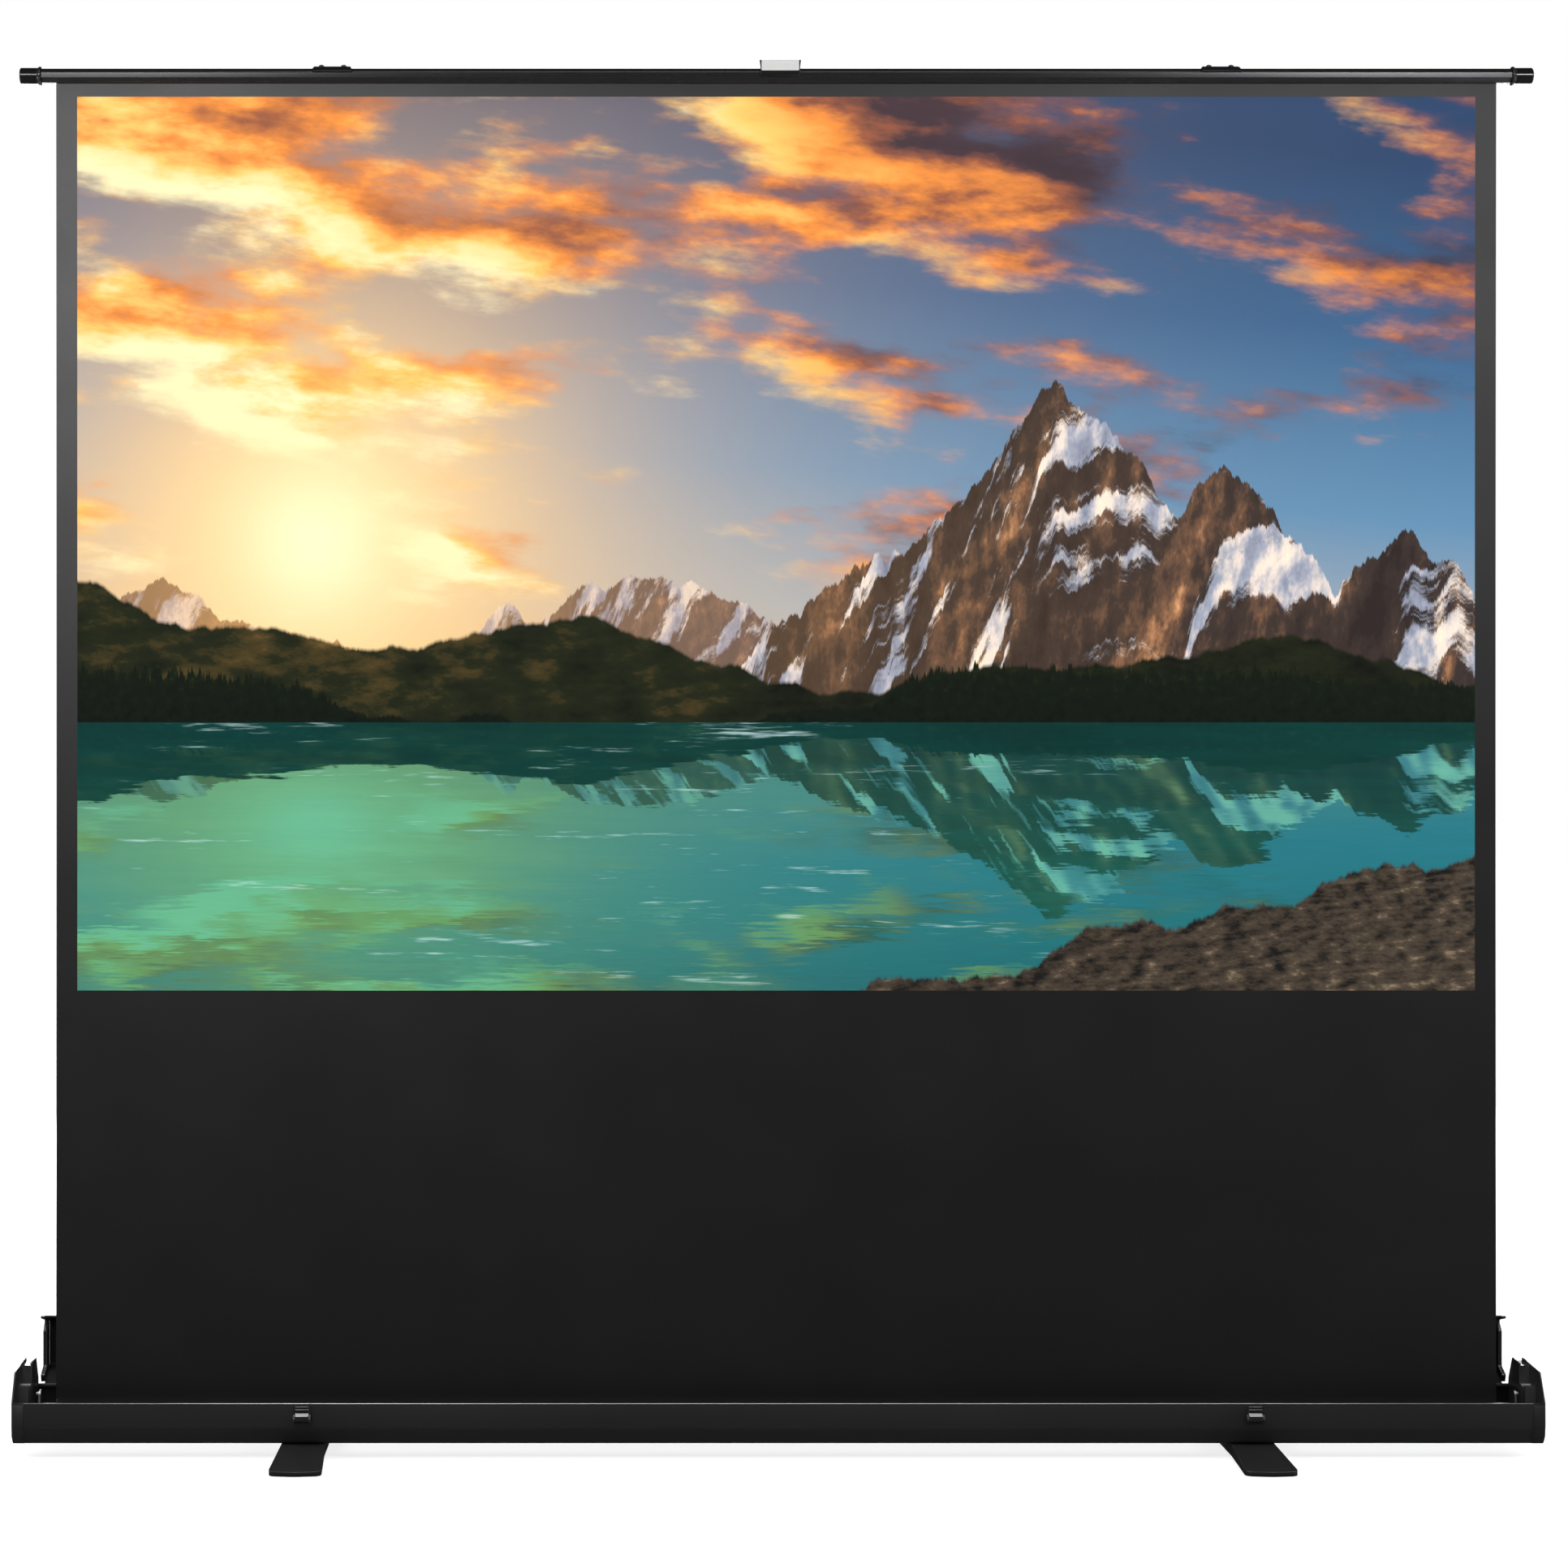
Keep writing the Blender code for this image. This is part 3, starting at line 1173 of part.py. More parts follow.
def foot_pivot(name, x, finish, carrier):
    """The rivet that a foot swivels on: head in the foot, shank through the case floor."""
    head = FOOT_LIFT + SEAT_GAP
    profile = (
        (head, 0),
        (head, FOOT_PIVOT_HEAD_RADIUS),
        (head + FOOT_PIVOT_HEAD_HEIGHT, FOOT_PIVOT_HEAD_RADIUS),
        (head + FOOT_PIVOT_HEAD_HEIGHT, FOOT_PIVOT_RADIUS),
        (CASE_FLOOR + SEAT_GAP, FOOT_PIVOT_RADIUS),
        (CASE_FLOOR + SEAT_GAP, 2 * FOOT_PIVOT_RADIUS),
        (CASE_FLOOR + SEAT_GAP + FOOT_RIVET_HEIGHT, FOOT_PIVOT_RADIUS * 8 / 5),
        (CASE_FLOOR + SEAT_GAP + FOOT_RIVET_HEIGHT, 0),
    )
    piece(name, turned(profile, "Z"), finish, carrier, (x, 0, 0))


def latch_base(name, x, finish, carrier):
    """A plate on the front wall with two cheeks and the lever's pin between them."""
    back = CASE_FRONT - SEAT_GAP
    front = back - LATCH_PLATE
    half = LATCH_BASE_WIDTH / 2
    plate = box((-half, front, LATCH_BOTTOM), (half, back, LATCH_TOP))
    cheek = rounded(
        [
            (back - LATCH_PLATE / 2, LATCH_BOTTOM + SEAT_GAP, 0),
            (back - LATCH_PLATE / 2, LATCH_BOTTOM + LATCH_CHEEK_HEIGHT, 0),
            (front - LATCH_CHEEK_DEPTH * 2 / 3, LATCH_BOTTOM + LATCH_CHEEK_HEIGHT, LATCH_CHEEK),
            (front - LATCH_CHEEK_DEPTH, LATCH_BOTTOM + LATCH_CHEEK_HEIGHT / 2, LATCH_CHEEK),
            (front - LATCH_CHEEK_DEPTH, LATCH_BOTTOM + SEAT_GAP, LATCH_CHEEK / 2),
        ]
    )
    inset = half - LATCH_CHEEK
    right = prism(cheek, inset, half - SEAT_GAP)
    left = prism(cheek, -half + SEAT_GAP, -inset)
    pin = rod(LATCH_PIN_RADIUS, -inset - SEAT_GAP, inset + SEAT_GAP, "X", SMALL_STEPS)
    shape = joined(plate, right, left, moved(pin, y=LATCH_PIN_Y, z=LATCH_PIN_Z))
    piece(name, shape, finish, carrier, (x, 0, 0))


def latch_lever(name, finish, carrier):
    """The flip lever about its pin: block with a sloping top, thin plate and two finger ribs."""
    half = LATCH_LEVER_WIDTH / 2
    back = LATCH_PIN_OUT - SEAT_GAP
    heel = LATCH_PIN_OUT - 2 * SEAT_GAP
    block_front = -LATCH_CHEEK_DEPTH + LATCH_PIN_OUT + SEAT_GAP
    block_top = LATCH_CHEEK_HEIGHT - LATCH_PIN_UP
    plate_front = back - LATCH_LEVER_PLATE
    top = LATCH_TOP - LATCH_PIN_Z
    rib = LATCH_RIB
    middle = (block_top + top) / 2
    outline = rounded(
        [
            *[(point.x, point.y, 0) for point in arc((0, 0), heel, -90, 0, BEND_STEPS)],
            (back, 0, 0),
            (back, top, 0),
            (plate_front - rib, top, rib / 3),
            (plate_front - rib, top - rib, rib / 3),
            (plate_front, top - rib, 0),
            (plate_front, middle + rib, 0),
            (plate_front - rib, middle + rib, rib / 3),
            (plate_front - rib, middle, rib / 3),
            (plate_front, middle, 0),
            (plate_front, block_top + rib, 0),
            (block_front, block_top - rib, rib / 2),
            (block_front, -heel, rib),
        ]
    )
    bore = rod(LATCH_PIN_RADIUS + RUN_GAP, -half - CUT_OVERRUN, half + CUT_OVERRUN, "X", SMALL_STEPS)
    piece(name, cut(prism(outline, -half, half), bore), finish, carrier)


def handle_mount(name, side, finish, carrier):
    """A block on the rear wall with the bore for one end of the carry handle."""
    back = CASE_REAR + SEAT_GAP
    half = MOUNT_HEIGHT / 2
    face = rounded(
        [
            (back, GRIP_Z - half, 0),
            (back + MOUNT_DEPTH, GRIP_Z - half, MOUNT_ROUND),
            (back + MOUNT_DEPTH, GRIP_Z + half, MOUNT_ROUND),
            (back, GRIP_Z + half, 0),
        ]
    )
    start = GRIP_SPAN / 2
    bore = rod(
        GRIP_RADIUS + RUN_GAP, start - CUT_OVERRUN, start + GRIP_STUB + SEAT_GAP, "X", SMALL_STEPS
    )
    shape = cut(prism(face, start, start + MOUNT_WIDTH), moved(bore, y=GRIP_Y, z=GRIP_Z))
    piece(name, mirrored(shape, side), finish, carrier)


def carry_handle(finish, carrier):
    """A bent rod that hangs from its two ends in the mounts."""
    reach = GRIP_SPAN / 2
    leg = reach - GRIP_BEND
    tip = reach + GRIP_STUB
    line = [
        (-tip, 0, 0),
        (-leg, 0, GRIP_BEND / 2),
        (-leg, -GRIP_DROP, GRIP_BEND),
        (leg, -GRIP_DROP, GRIP_BEND),
        (leg, 0, GRIP_BEND / 2),
        (tip, 0, 0),
    ]
    path = rounded(line, closed=False)
    curve = bpy.data.curves.new("carry_handle", "CURVE")
    curve.dimensions = "3D"
    curve.bevel_depth = GRIP_RADIUS
    curve.bevel_resolution = 3
    curve.use_fill_caps = True
    spline = curve.splines.new("POLY")
    spline.points.add(len(path) - 1)
    for place, point in zip(spline.points, path):
        place.co = (point.x, 0, point.y, 1)
    curve.materials.append(finish)
    item = bpy.data.objects.new("carry_handle", curve)
    item.parent = carrier
    bpy.context.scene.collection.objects.link(item)


def build_case(looks, case):
    base_trough(looks["case"], case)
    for side, word in ((-1, "left"), (1, "right")):
        end_cap(f"end_cap_{word}", side, looks["plastic"], case)
        cap_screw(f"cap_screw_{word}_front", side, FRONT_BOSS, looks["steel"], case)
        cap_screw(f"cap_screw_{word}_rear", side, REAR_BOSS, looks["steel"], case)
        foot_pivot(f"foot_pivot_{word}", side * FOOT_X, looks["steel"], case)
        latch_base(f"latch_base_{word}", side * LATCH_X, looks["plastic"], case)
        handle_mount(f"handle_mount_{word}", side, looks["plastic"], case)
    roller_bracket("roller_bracket_left", -1, GUDGEON_RADIUS + RUN_GAP, looks["steel"], case)
    roller_bracket("roller_bracket_right", 1, SHAFT_RADIUS + SEAT_GAP, looks["steel"], case)
    base_bracket("base_bracket_left", -ARM_PIVOT_X, LEFT_BRACKET_Y, looks["arm"], case)
    base_bracket("base_bracket_right", ARM_PIVOT_X, RIGHT_BRACKET_Y, looks["arm"], case)
    left_pin = (-ARM_PIVOT_X, 0, BASE_PIVOT_Z)
    right_pin = (ARM_PIVOT_X, 0, BASE_PIVOT_Z)
    left_back = LEFT_BRACKET_Y + BRACKET_THICKNESS
    right_back = RIGHT_BRACKET_Y + BRACKET_THICKNESS
    pivot_pin("base_pin_left", left_back, LAYER_2 + SEAT_GAP, looks["steel"], case, left_pin)
    pivot_pin("base_pin_right", right_back, LAYER_4 + SEAT_GAP, looks["steel"], case, right_pin)
    spring_shaft(looks["steel"], case)
    screen_fabric(looks["fabric"], case)


def build_roller(looks, roller):
    roller_tube(looks["tube"], roller)
    roller_plug_left(looks["plastic"], roller)
    roller_plug_right(looks["plastic"], roller)
    roller_spring(looks["steel"], roller)
    wound_fabric(looks["fabric"], roller)


def build_lid(looks, case):
    hinge = (0, HINGE_Y, HINGE_Z)
    lid = body("lid", hinge, case)
    lid_panel(looks["case"], lid, hinge)
    lid_end("lid_end_left", -1, looks["plastic"], lid, hinge)
    lid_end("lid_end_right", 1, looks["plastic"], lid, hinge)


def build_scissor(looks, case):
    """The two folding chains. The right one ends at an open pivot in the right saddle."""
    left_base = (-ARM_PIVOT_X, 0, BASE_PIVOT_Z)
    right_base = (ARM_PIVOT_X, 0, BASE_PIVOT_Z)
    lower_left = body("lower_left", left_base, case, -RAISED_ANGLE)
    upper_left = body("upper_left", (ARM_LENGTH, 0, 0), lower_left, 2 * RAISED_ANGLE)
    bar = body("bar", (-ARM_LENGTH, 0, 0), upper_left, -RAISED_ANGLE)
    lower_right = body("lower_right", right_base, case, RAISED_ANGLE)
    upper_right = body("upper_right", (-ARM_LENGTH, 0, 0), lower_right, -2 * RAISED_ANGLE)
    arm("lower_arm_left", 1, LAYER_2, looks["arm"], lower_left)
    arm("upper_arm_left", -1, LAYER_1, looks["arm"], upper_left)
    arm("lower_arm_right", -1, LAYER_4, looks["arm"], lower_right)
    arm("upper_arm_right", 1, LAYER_3, looks["arm"], upper_right)
    left_tip = LAYER_2 + ARM_THICKNESS - SEAT_GAP
    right_head = LAYER_4 + ARM_THICKNESS
    pivot_pin("knee_pin_left", LAYER_1, left_tip, looks["steel"], lower_left, (ARM_LENGTH, 0, 0))
    pivot_pin(
        "knee_pin_right", right_head, LAYER_3 + SEAT_GAP, looks["steel"], lower_right, (-ARM_LENGTH, 0, 0)
    )
    knee_left = LAYER_1 + ARM_THICKNESS
    knee_right = LAYER_3 + ARM_THICKNESS
    knee_washer("knee_washer_left", knee_left, looks["fibre"], lower_left, (ARM_LENGTH, 0, 0))
    knee_washer("knee_washer_right", knee_right, looks["fibre"], lower_right, (-ARM_LENGTH, 0, 0))
    top_tip = LAYER_3 + ARM_THICKNESS - SEAT_GAP
    pivot_pin("top_pin_right", RIGHT_TONGUE_Y, top_tip, looks["steel"], upper_right, (ARM_LENGTH, 0, 0))
    return bar


def build_bar(looks, bar):
    middle = (ARM_PIVOT_X, 0, PIVOT_DROP)
    top_bar(looks["bar"], bar, middle)
    fabric_rod(looks["plastic"], bar, middle)
    pull_handle(looks["plastic"], bar, middle)
    places = {"left": (-1, BAR_BACK), "right": (1, RIGHT_TONGUE_Y)}
    for word, (side, tongue_y) in places.items():
        bar_end(f"bar_end_{word}", side, looks["plastic"], bar, middle)
        arm_saddle(f"arm_saddle_{word}", side * ARM_PIVOT_X, tongue_y, looks["bar"], bar, middle)
    names = ("left_outer", "left_inner", "right_inner", "right_outer")
    for word, x in zip(names, saddle_screw_places()):
        saddle_screw(f"saddle_screw_{word}", x, looks["steel"], bar, middle)
    tip = LAYER_1 + ARM_THICKNESS - SEAT_GAP
    pivot_pin("top_pin_left", BAR_BACK, tip, looks["steel"], bar, (0, 0, 0))


def build_small_movers(looks, case):
    """The feet, the latch levers and the carry handle, each on its own axis."""
    for side, word in ((-1, "left"), (1, "right")):
        swivel = body(f"foot_swivel_{word}", (side * FOOT_X, 0, 0), case)
        foot(f"foot_{word}", looks["foot"], swivel)
        for y, end in zip(pad_places(), ("front", "back")):
            foot_pad(f"foot_pad_{word}_{end}", y, looks["rubber"], swivel)
        pin = (side * LATCH_X, LATCH_PIN_Y, LATCH_PIN_Z)
        latch_lever(f"latch_lever_{word}", looks["plastic"], body(f"latch_{word}", pin, case))
    carry_handle(looks["plastic"], body("carry", (0, GRIP_Y, GRIP_Z), case))


def main():
    clear_scene()
    looks = make_finishes()
    case = body("case")
    build_case(looks, case)
    build_roller(looks, body("roller", (0, ROLLER_Y, ROLLER_Z), case))
    build_lid(looks, case)
    build_bar(looks, build_scissor(looks, case))
    build_small_movers(looks, case)


main()
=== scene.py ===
# Looks, light and camera for the pull-up projection screen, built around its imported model.
import bpy
import math
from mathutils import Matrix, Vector


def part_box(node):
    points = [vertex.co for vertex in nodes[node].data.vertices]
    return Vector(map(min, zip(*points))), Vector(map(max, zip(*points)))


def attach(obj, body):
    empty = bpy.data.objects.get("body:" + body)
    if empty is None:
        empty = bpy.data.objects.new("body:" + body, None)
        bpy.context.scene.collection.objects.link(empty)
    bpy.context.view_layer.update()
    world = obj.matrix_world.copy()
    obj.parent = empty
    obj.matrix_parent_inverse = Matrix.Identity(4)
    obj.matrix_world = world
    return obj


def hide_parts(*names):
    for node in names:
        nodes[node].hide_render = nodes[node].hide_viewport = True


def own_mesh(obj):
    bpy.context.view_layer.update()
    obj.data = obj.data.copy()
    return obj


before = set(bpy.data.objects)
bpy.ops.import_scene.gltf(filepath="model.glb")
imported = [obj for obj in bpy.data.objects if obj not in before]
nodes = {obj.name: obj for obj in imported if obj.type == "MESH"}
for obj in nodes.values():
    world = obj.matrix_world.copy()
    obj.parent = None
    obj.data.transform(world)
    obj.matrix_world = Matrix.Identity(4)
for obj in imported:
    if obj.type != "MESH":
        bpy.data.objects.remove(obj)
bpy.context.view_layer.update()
print("frame loaded:", len(nodes), "nodes")


# Shader helpers: a Wire is one socket that can be used in sums, a Finish is one material

def plug(tree, place, value):
    if isinstance(value, Wire):
        tree.links.new(value.socket, place)
    elif isinstance(value, tuple) and len(value) == 3 and len(place.default_value) == 4:
        place.default_value = (*value, 1)
    else:
        place.default_value = value


class Wire:
    def __init__(self, tree, socket):
        self.tree = tree
        self.socket = socket

    def maths(self, operation, *values):
        made = self.tree.nodes.new("ShaderNodeMath")
        made.operation = operation
        for place, value in zip(made.inputs, values):
            plug(self.tree, place, value)
        return Wire(self.tree, made.outputs[0])

    def __add__(self, other):
        return self.maths("ADD", self, other)

    def __radd__(self, other):
        return self.maths("ADD", other, self)

    def __sub__(self, other):
        return self.maths("SUBTRACT", self, other)

    def __rsub__(self, other):
        return self.maths("SUBTRACT", other, self)

    def __mul__(self, other):
        return self.maths("MULTIPLY", self, other)

    def __rmul__(self, other):
        return self.maths("MULTIPLY", other, self)

    def __truediv__(self, other):
        return self.maths("DIVIDE", self, other)

    def __rtruediv__(self, other):
        return self.maths("DIVIDE", other, self)

    def __pow__(self, other):
        return self.maths("POWER", self, other)


class Finish:
    def __init__(self, name, **fixed):
        self.material = bpy.data.materials.new(name)
        self.material.use_nodes = True
        self.tree = self.material.node_tree
        self.shader = self.tree.nodes["Principled BSDF"]
        for key, value in fixed.items():
            self.shader.inputs[key.replace("_", " ")].default_value = value

    def node(self, kind, settings, sockets, result=0):
        made = self.tree.nodes.new(kind)
        for key, value in settings.items():
            if key == "stops":
                while len(made.color_ramp.elements) < len(value):
                    made.color_ramp.elements.new(1)
                for element, (place, colour) in zip(made.color_ramp.elements, value):
                    element.position = place
                    element.color = (*colour, 1)
            else:
                setattr(made, key, value)
        for key, value in sockets.items():
            plug(self.tree, made.inputs[key], value)
        return Wire(self.tree, made.outputs[result])

    def paint(self, **sockets):
        for key, value in sockets.items():
            plug(self.tree, self.shader.inputs[key.replace("_", " ")], value)

    def place(self, scale=(1, 1, 1)):
        spot = self.node("ShaderNodeTexCoord", {}, {}, "Object")
        return self.node("ShaderNodeMapping", {}, {"Vector": spot, "Scale": scale})

    def noise(self, vector, scale, detail=3, rough=0.55):
        sockets = {"Vector": vector, "Scale": scale, "Detail": detail, "Roughness": rough}
        return self.node("ShaderNodeTexNoise", {}, sockets)

    def line(self, along, scale, seed, detail=4, rough=0.5):
        sockets = {"W": along + seed, "Scale": scale, "Detail": detail, "Roughness": rough}
        return self.node("ShaderNodeTexNoise", {"noise_dimensions": "1D"}, sockets)

    def fade(self, value, low, high):
        sockets = {"Value": value, "From Min": low, "From Max": high}
        return self.node("ShaderNodeMapRange", {"interpolation_type": "SMOOTHSTEP"}, sockets)

    def ramp(self, value, stops):
        return self.node("ShaderNodeValToRGB", {"stops": stops}, {"Fac": value})

    def mix(self, share, first, second, how="MIX"):
        settings = {"data_type": "RGBA", "blend_type": how}
        return self.node("ShaderNodeMix", settings, {0: share, 6: first, 7: second}, 2)

    def bump(self, height, strength, distance):
        sockets = {"Height": height, "Strength": strength, "Distance": distance}
        self.paint(Normal=self.node("ShaderNodeBump", {}, sockets))


# Finishes

metalLooks = {
    "caseMetal": dict(colour=(0.0085, 0.0085, 0.0092), worn=(0.020, 0.020, 0.021), metallic=0.25,
                      rough=0.33, streaks=(2, 900, 900), lift=0.00003, shine=0.42),
    # lighter edge metal for the bevels: partly wear, partly a painted highlight
    "caseEdgeWearAndPaintedSheen": dict(colour=(0.050, 0.050, 0.052), worn=(0.16, 0.16, 0.165), metallic=0.55,
                     rough=0.30, streaks=(8, 300, 300), lift=0.00002, shine=0.5),
    # lighter metal for the case lip's faces that face the lamps: a painted highlight
    "lipPaintedHighlight": dict(colour=(0.16, 0.16, 0.165), worn=(0.26, 0.26, 0.265), metallic=0.8,
                     rough=0.30, streaks=(6, 500, 500), lift=0.00002, shine=0.5),
    "barMetal": dict(colour=(0.070, 0.070, 0.074), worn=(0.115, 0.115, 0.120), metallic=0.85,
                     rough=0.24, streaks=(2, 1100, 1100), lift=0.00002, shine=0.5),
    "armMetal": dict(colour=(0.030, 0.030, 0.032), worn=(0.060, 0.060, 0.062), metallic=0.6,
                     rough=0.38, streaks=(60, 900, 60), lift=0.00003, shine=0.5),
    "zincSteel": dict(colour=(0.42, 0.42, 0.43), worn=(0.60, 0.60, 0.60), metallic=1,
                      rough=0.32, streaks=(120, 120, 120), lift=0.00004, shine=0.5),
    "darkSteel": dict(colour=(0.11, 0.11, 0.115), worn=(0.20, 0.20, 0.20), metallic=1,
                      rough=0.33, streaks=(150, 150, 150), lift=0.00004, shine=0.5),
    "tubeMetal": dict(colour=(0.50, 0.50, 0.51), worn=(0.66, 0.66, 0.66), metallic=1,
                      rough=0.34, streaks=(3, 700, 700), lift=0.00003, shine=0.5),
}
plasticLooks = {
    "capPlastic": dict(colour=(0.0055, 0.0055, 0.0058), worn=(0.012, 0.012, 0.013), rough=0.32,
                       grain=2600, lift=0.00005, shine=0.45),
    # lighter edge plastic for the bevels: partly wear, partly a painted highlight
    "capEdgeWearAndPaintedSheen": dict(colour=(0.045, 0.045, 0.046), worn=(0.10, 0.10, 0.10), rough=0.30,
                    grain=2600, lift=0.00004, shine=0.6),
    "glossPlastic": dict(colour=(0.0045, 0.0045, 0.0048), worn=(0.007, 0.007, 0.0075), rough=0.16,
                         grain=900, lift=0.000004, shine=0.8),
    "footPlastic": dict(colour=(0.0030, 0.0030, 0.0032), worn=(0.0060, 0.0060, 0.0064), rough=0.46,
                        grain=1900, lift=0.00009, shine=0.30),
    # lighter plastic for the latch tabs' ledge faces that face the lamps: a painted highlight
    "ledgePaintedHighlight": dict(colour=(0.10, 0.10, 0.10), worn=(0.22, 0.22, 0.22), rough=0.34,
                      grain=2200, lift=0.00003, shine=0.7),
    # lighter edge plastic for the feet's bevels: partly wear, partly a painted highlight
    "footEdgeWearAndPaintedSheen": dict(colour=(0.045, 0.045, 0.047), worn=(0.10, 0.10, 0.10), rough=0.34,
                     grain=1900, lift=0.00007, shine=0.6),
    "padRubber": dict(colour=(0.010, 0.010, 0.010), worn=(0.024, 0.024, 0.023), rough=0.86,
                      grain=900, lift=0.00016, shine=0.3),
    "pressedFibre": dict(colour=(0.13, 0.09, 0.05), worn=(0.24, 0.17, 0.10), rough=0.80,
                         grain=700, lift=0.00014, shine=0.3),
}
finishes = {}


def metalFinish(name, look):
    finish = Finish(name, Specular_IOR_Level=look["shine"], Metallic=look["metallic"])
    drawn = finish.noise(finish.place(look["streaks"]), 1, 2)
    cloud = finish.noise(finish.place(), 5, 4)
    rubbed = finish.fade(finish.noise(finish.place(), 38, 5, 0.7), 0.58, 0.74)
    colour = finish.mix(0.5 * drawn + 0.25 * cloud, look["colour"], look["worn"])
    finish.paint(
        Base_Color=finish.mix(0.35 * rubbed, colour, look["worn"]),
        Roughness=look["rough"] - 0.06 + 0.10 * cloud + 0.06 * drawn - 0.05 * rubbed,
    )
    finish.bump(drawn + 0.4 * cloud, 0.35, look["lift"])
    finishes[name] = finish.material


def plasticFinish(name, look):
    finish = Finish(name, Specular_IOR_Level=look["shine"])
    grain = finish.noise(finish.place(), look["grain"], 2)
    cloud = finish.noise(finish.place(), 9, 5, 0.6)
    scuffs = finish.fade(finish.noise(finish.place((30, 160, 90)), 1, 5, 0.7), 0.62, 0.78)
    colour = finish.mix(cloud, look["colour"], look["worn"])
    finish.paint(
        Base_Color=finish.mix(0.3 * scuffs, colour, look["worn"]),
        Roughness=look["rough"] - 0.05 + 0.12 * cloud + 0.06 * scuffs,
    )
    finish.bump(grain + 0.3 * cloud, 0.5, look["lift"])
    finishes[name] = finish.material


for metalName, metalLook in metalLooks.items():
    metalFinish(metalName, metalLook)
for plasticName, plasticLook in plasticLooks.items():
    plasticFinish(plasticName, plasticLook)

labelLook = dict(colour=(0.54, 0.54, 0.535), shade=(0.46, 0.46, 0.455), rough=0.46,
                 fibre=1400, lift=0.00004)


def labelFinish(look):
    finish = Finish("labelBlank")
    fibre = finish.noise(finish.place((1, 1, 2.4)), look["fibre"], 3)
    cloud = finish.noise(finish.place(), 60, 4)
    finish.paint(
        Base_Color=finish.mix(0.5 * fibre + 0.5 * cloud, look["colour"], look["shade"]),
        Roughness=look["rough"] + 0.14 * cloud,
    )
    finish.bump(fibre, 0.4, look["lift"])
    finishes["labelBlank"] = finish.material


labelFinish(labelLook)
print("hard finishes made:", len(finishes))


# Cloth: black coated border, the picture field and the plain back

clothLook = dict(black=(0.0050, 0.0050, 0.0052), faded=(0.0085, 0.0085, 0.0088), rough=0.30,
                 weave=1500, lift=0.00006)
sceneryLook = dict(
    horizon=0.30, glow=(0.17, 0.50), aspect=1.56,
    sky=[(0.0, (0.60, 0.40, 0.26)), (0.18, (0.36, 0.40, 0.44)), (0.42, (0.10, 0.25, 0.42)),
         (0.72, (0.025, 0.105, 0.24)), (1.0, (0.010, 0.048, 0.13))],
    cloud=[(0.0, (0.014, 0.012, 0.022)), (0.28, (0.060, 0.034, 0.040)), (0.46, (0.30, 0.095, 0.045)),
           (0.64, (0.85, 0.27, 0.045)), (0.82, (1.0, 0.56, 0.14)), (1.0, (1.0, 0.86, 0.48))],
    rock=[(0.0, (0.006, 0.006, 0.010)), (0.38, (0.030, 0.022, 0.022)), (0.60, (0.13, 0.066, 0.040)),
          (0.80, (0.40, 0.185, 0.085)), (1.0, (0.80, 0.42, 0.20))],
    snow=[(0.0, (0.10, 0.13, 0.21)), (0.45, (0.34, 0.38, 0.48)), (0.75, (0.86, 0.74, 0.66)),
          (1.0, (1.0, 0.86, 0.66))],
    haze=(0.30, 0.21, 0.21), warmth=(1.0, 0.52, 0.13), core=(1.0, 0.90, 0.55),
    slope=[(0.0, (0.003, 0.005, 0.003)), (0.45, (0.016, 0.020, 0.007)), (0.70, (0.075, 0.050, 0.014)),
           (1.0, (0.26, 0.135, 0.040))],
    wood=[(0.0, (0.0015, 0.003, 0.0025)), (0.55, (0.006, 0.012, 0.005)), (1.0, (0.050, 0.045, 0.010))],
    shore=[(0.0, (0.010, 0.009, 0.008)), (0.5, (0.085, 0.062, 0.042)), (1.0, (0.46, 0.34, 0.22))],
    tint=(0.06, 0.60, 0.55), water=(0.0, 0.115, 0.105), shallow=(0.010, 0.30, 0.22),
    glint=(0.62, 0.90, 0.88),
    hills=dict(foot=0.318, scale=3.2, seed=7.7, height=0.20, fall=0.07, soft=0.006),
    woods=dict(stands=2.4, standSeed=21.5, tips=150, tipSeed=2.9, tipHeight=0.055, depth=0.036,
               sink=0.004, soft=0.004),
    bank=dict(scale=7, seed=33.3, height=0.11, climb=0.34, start=0.66, drop=0.02, soft=0.006),
)


fullTurn = 6.2832  # a thread's period in the weave


def clothPlace(finish):
    return finish.node("ShaderNodeUVMap", {"uv_map": "cloth"}, {})


def weaveBump(finish, spot, look):
    threadScale = (look["weave"], look["weave"] * 0.93, 1)
    across = finish.node("ShaderNodeMapping", {}, {"Vector": spot, "Scale": threadScale})
    split = finish.node("ShaderNodeSeparateXYZ", {}, {"Vector": across}, "X")
    rise = Wire(finish.tree, split.socket.node.outputs["Y"])
    threads = split.maths("SINE", split * fullTurn) * rise.maths("SINE", rise * fullTurn)
    finish.bump(threads + finish.noise(spot, 90, 4), 0.3, look["lift"])


def blackCloth(name, look):
    finish = Finish(name, Specular_IOR_Level=0.5)
    spot = clothPlace(finish)
    cloud = finish.noise(spot, 3.5, 4)
    finish.paint(
        Base_Color=finish.mix(cloud, look["black"], look["faded"]),
        Roughness=look["rough"] + 0.10 * finish.noise(spot, 14, 4),
    )
    weaveBump(finish, spot, look)
    finishes[name] = finish.material


# Each range: its peaks as (place, half width, height), then its foot, roughness and distance
ridges = (
    dict(peaks=((0.41, 0.20, 0.15), (0.31, 0.12, 0.09), (0.06, 0.20, 0.12)),
         low=0.335, crest=0.12, seed=4.1, scale=5.5, haze=0.30),
    dict(peaks=((0.70, 0.24, 0.37), (0.82, 0.17, 0.28), (0.95, 0.14, 0.22), (0.57, 0.15, 0.17)),
         low=0.315, crest=0.17, seed=11.3, scale=3.6, haze=0.03),
)


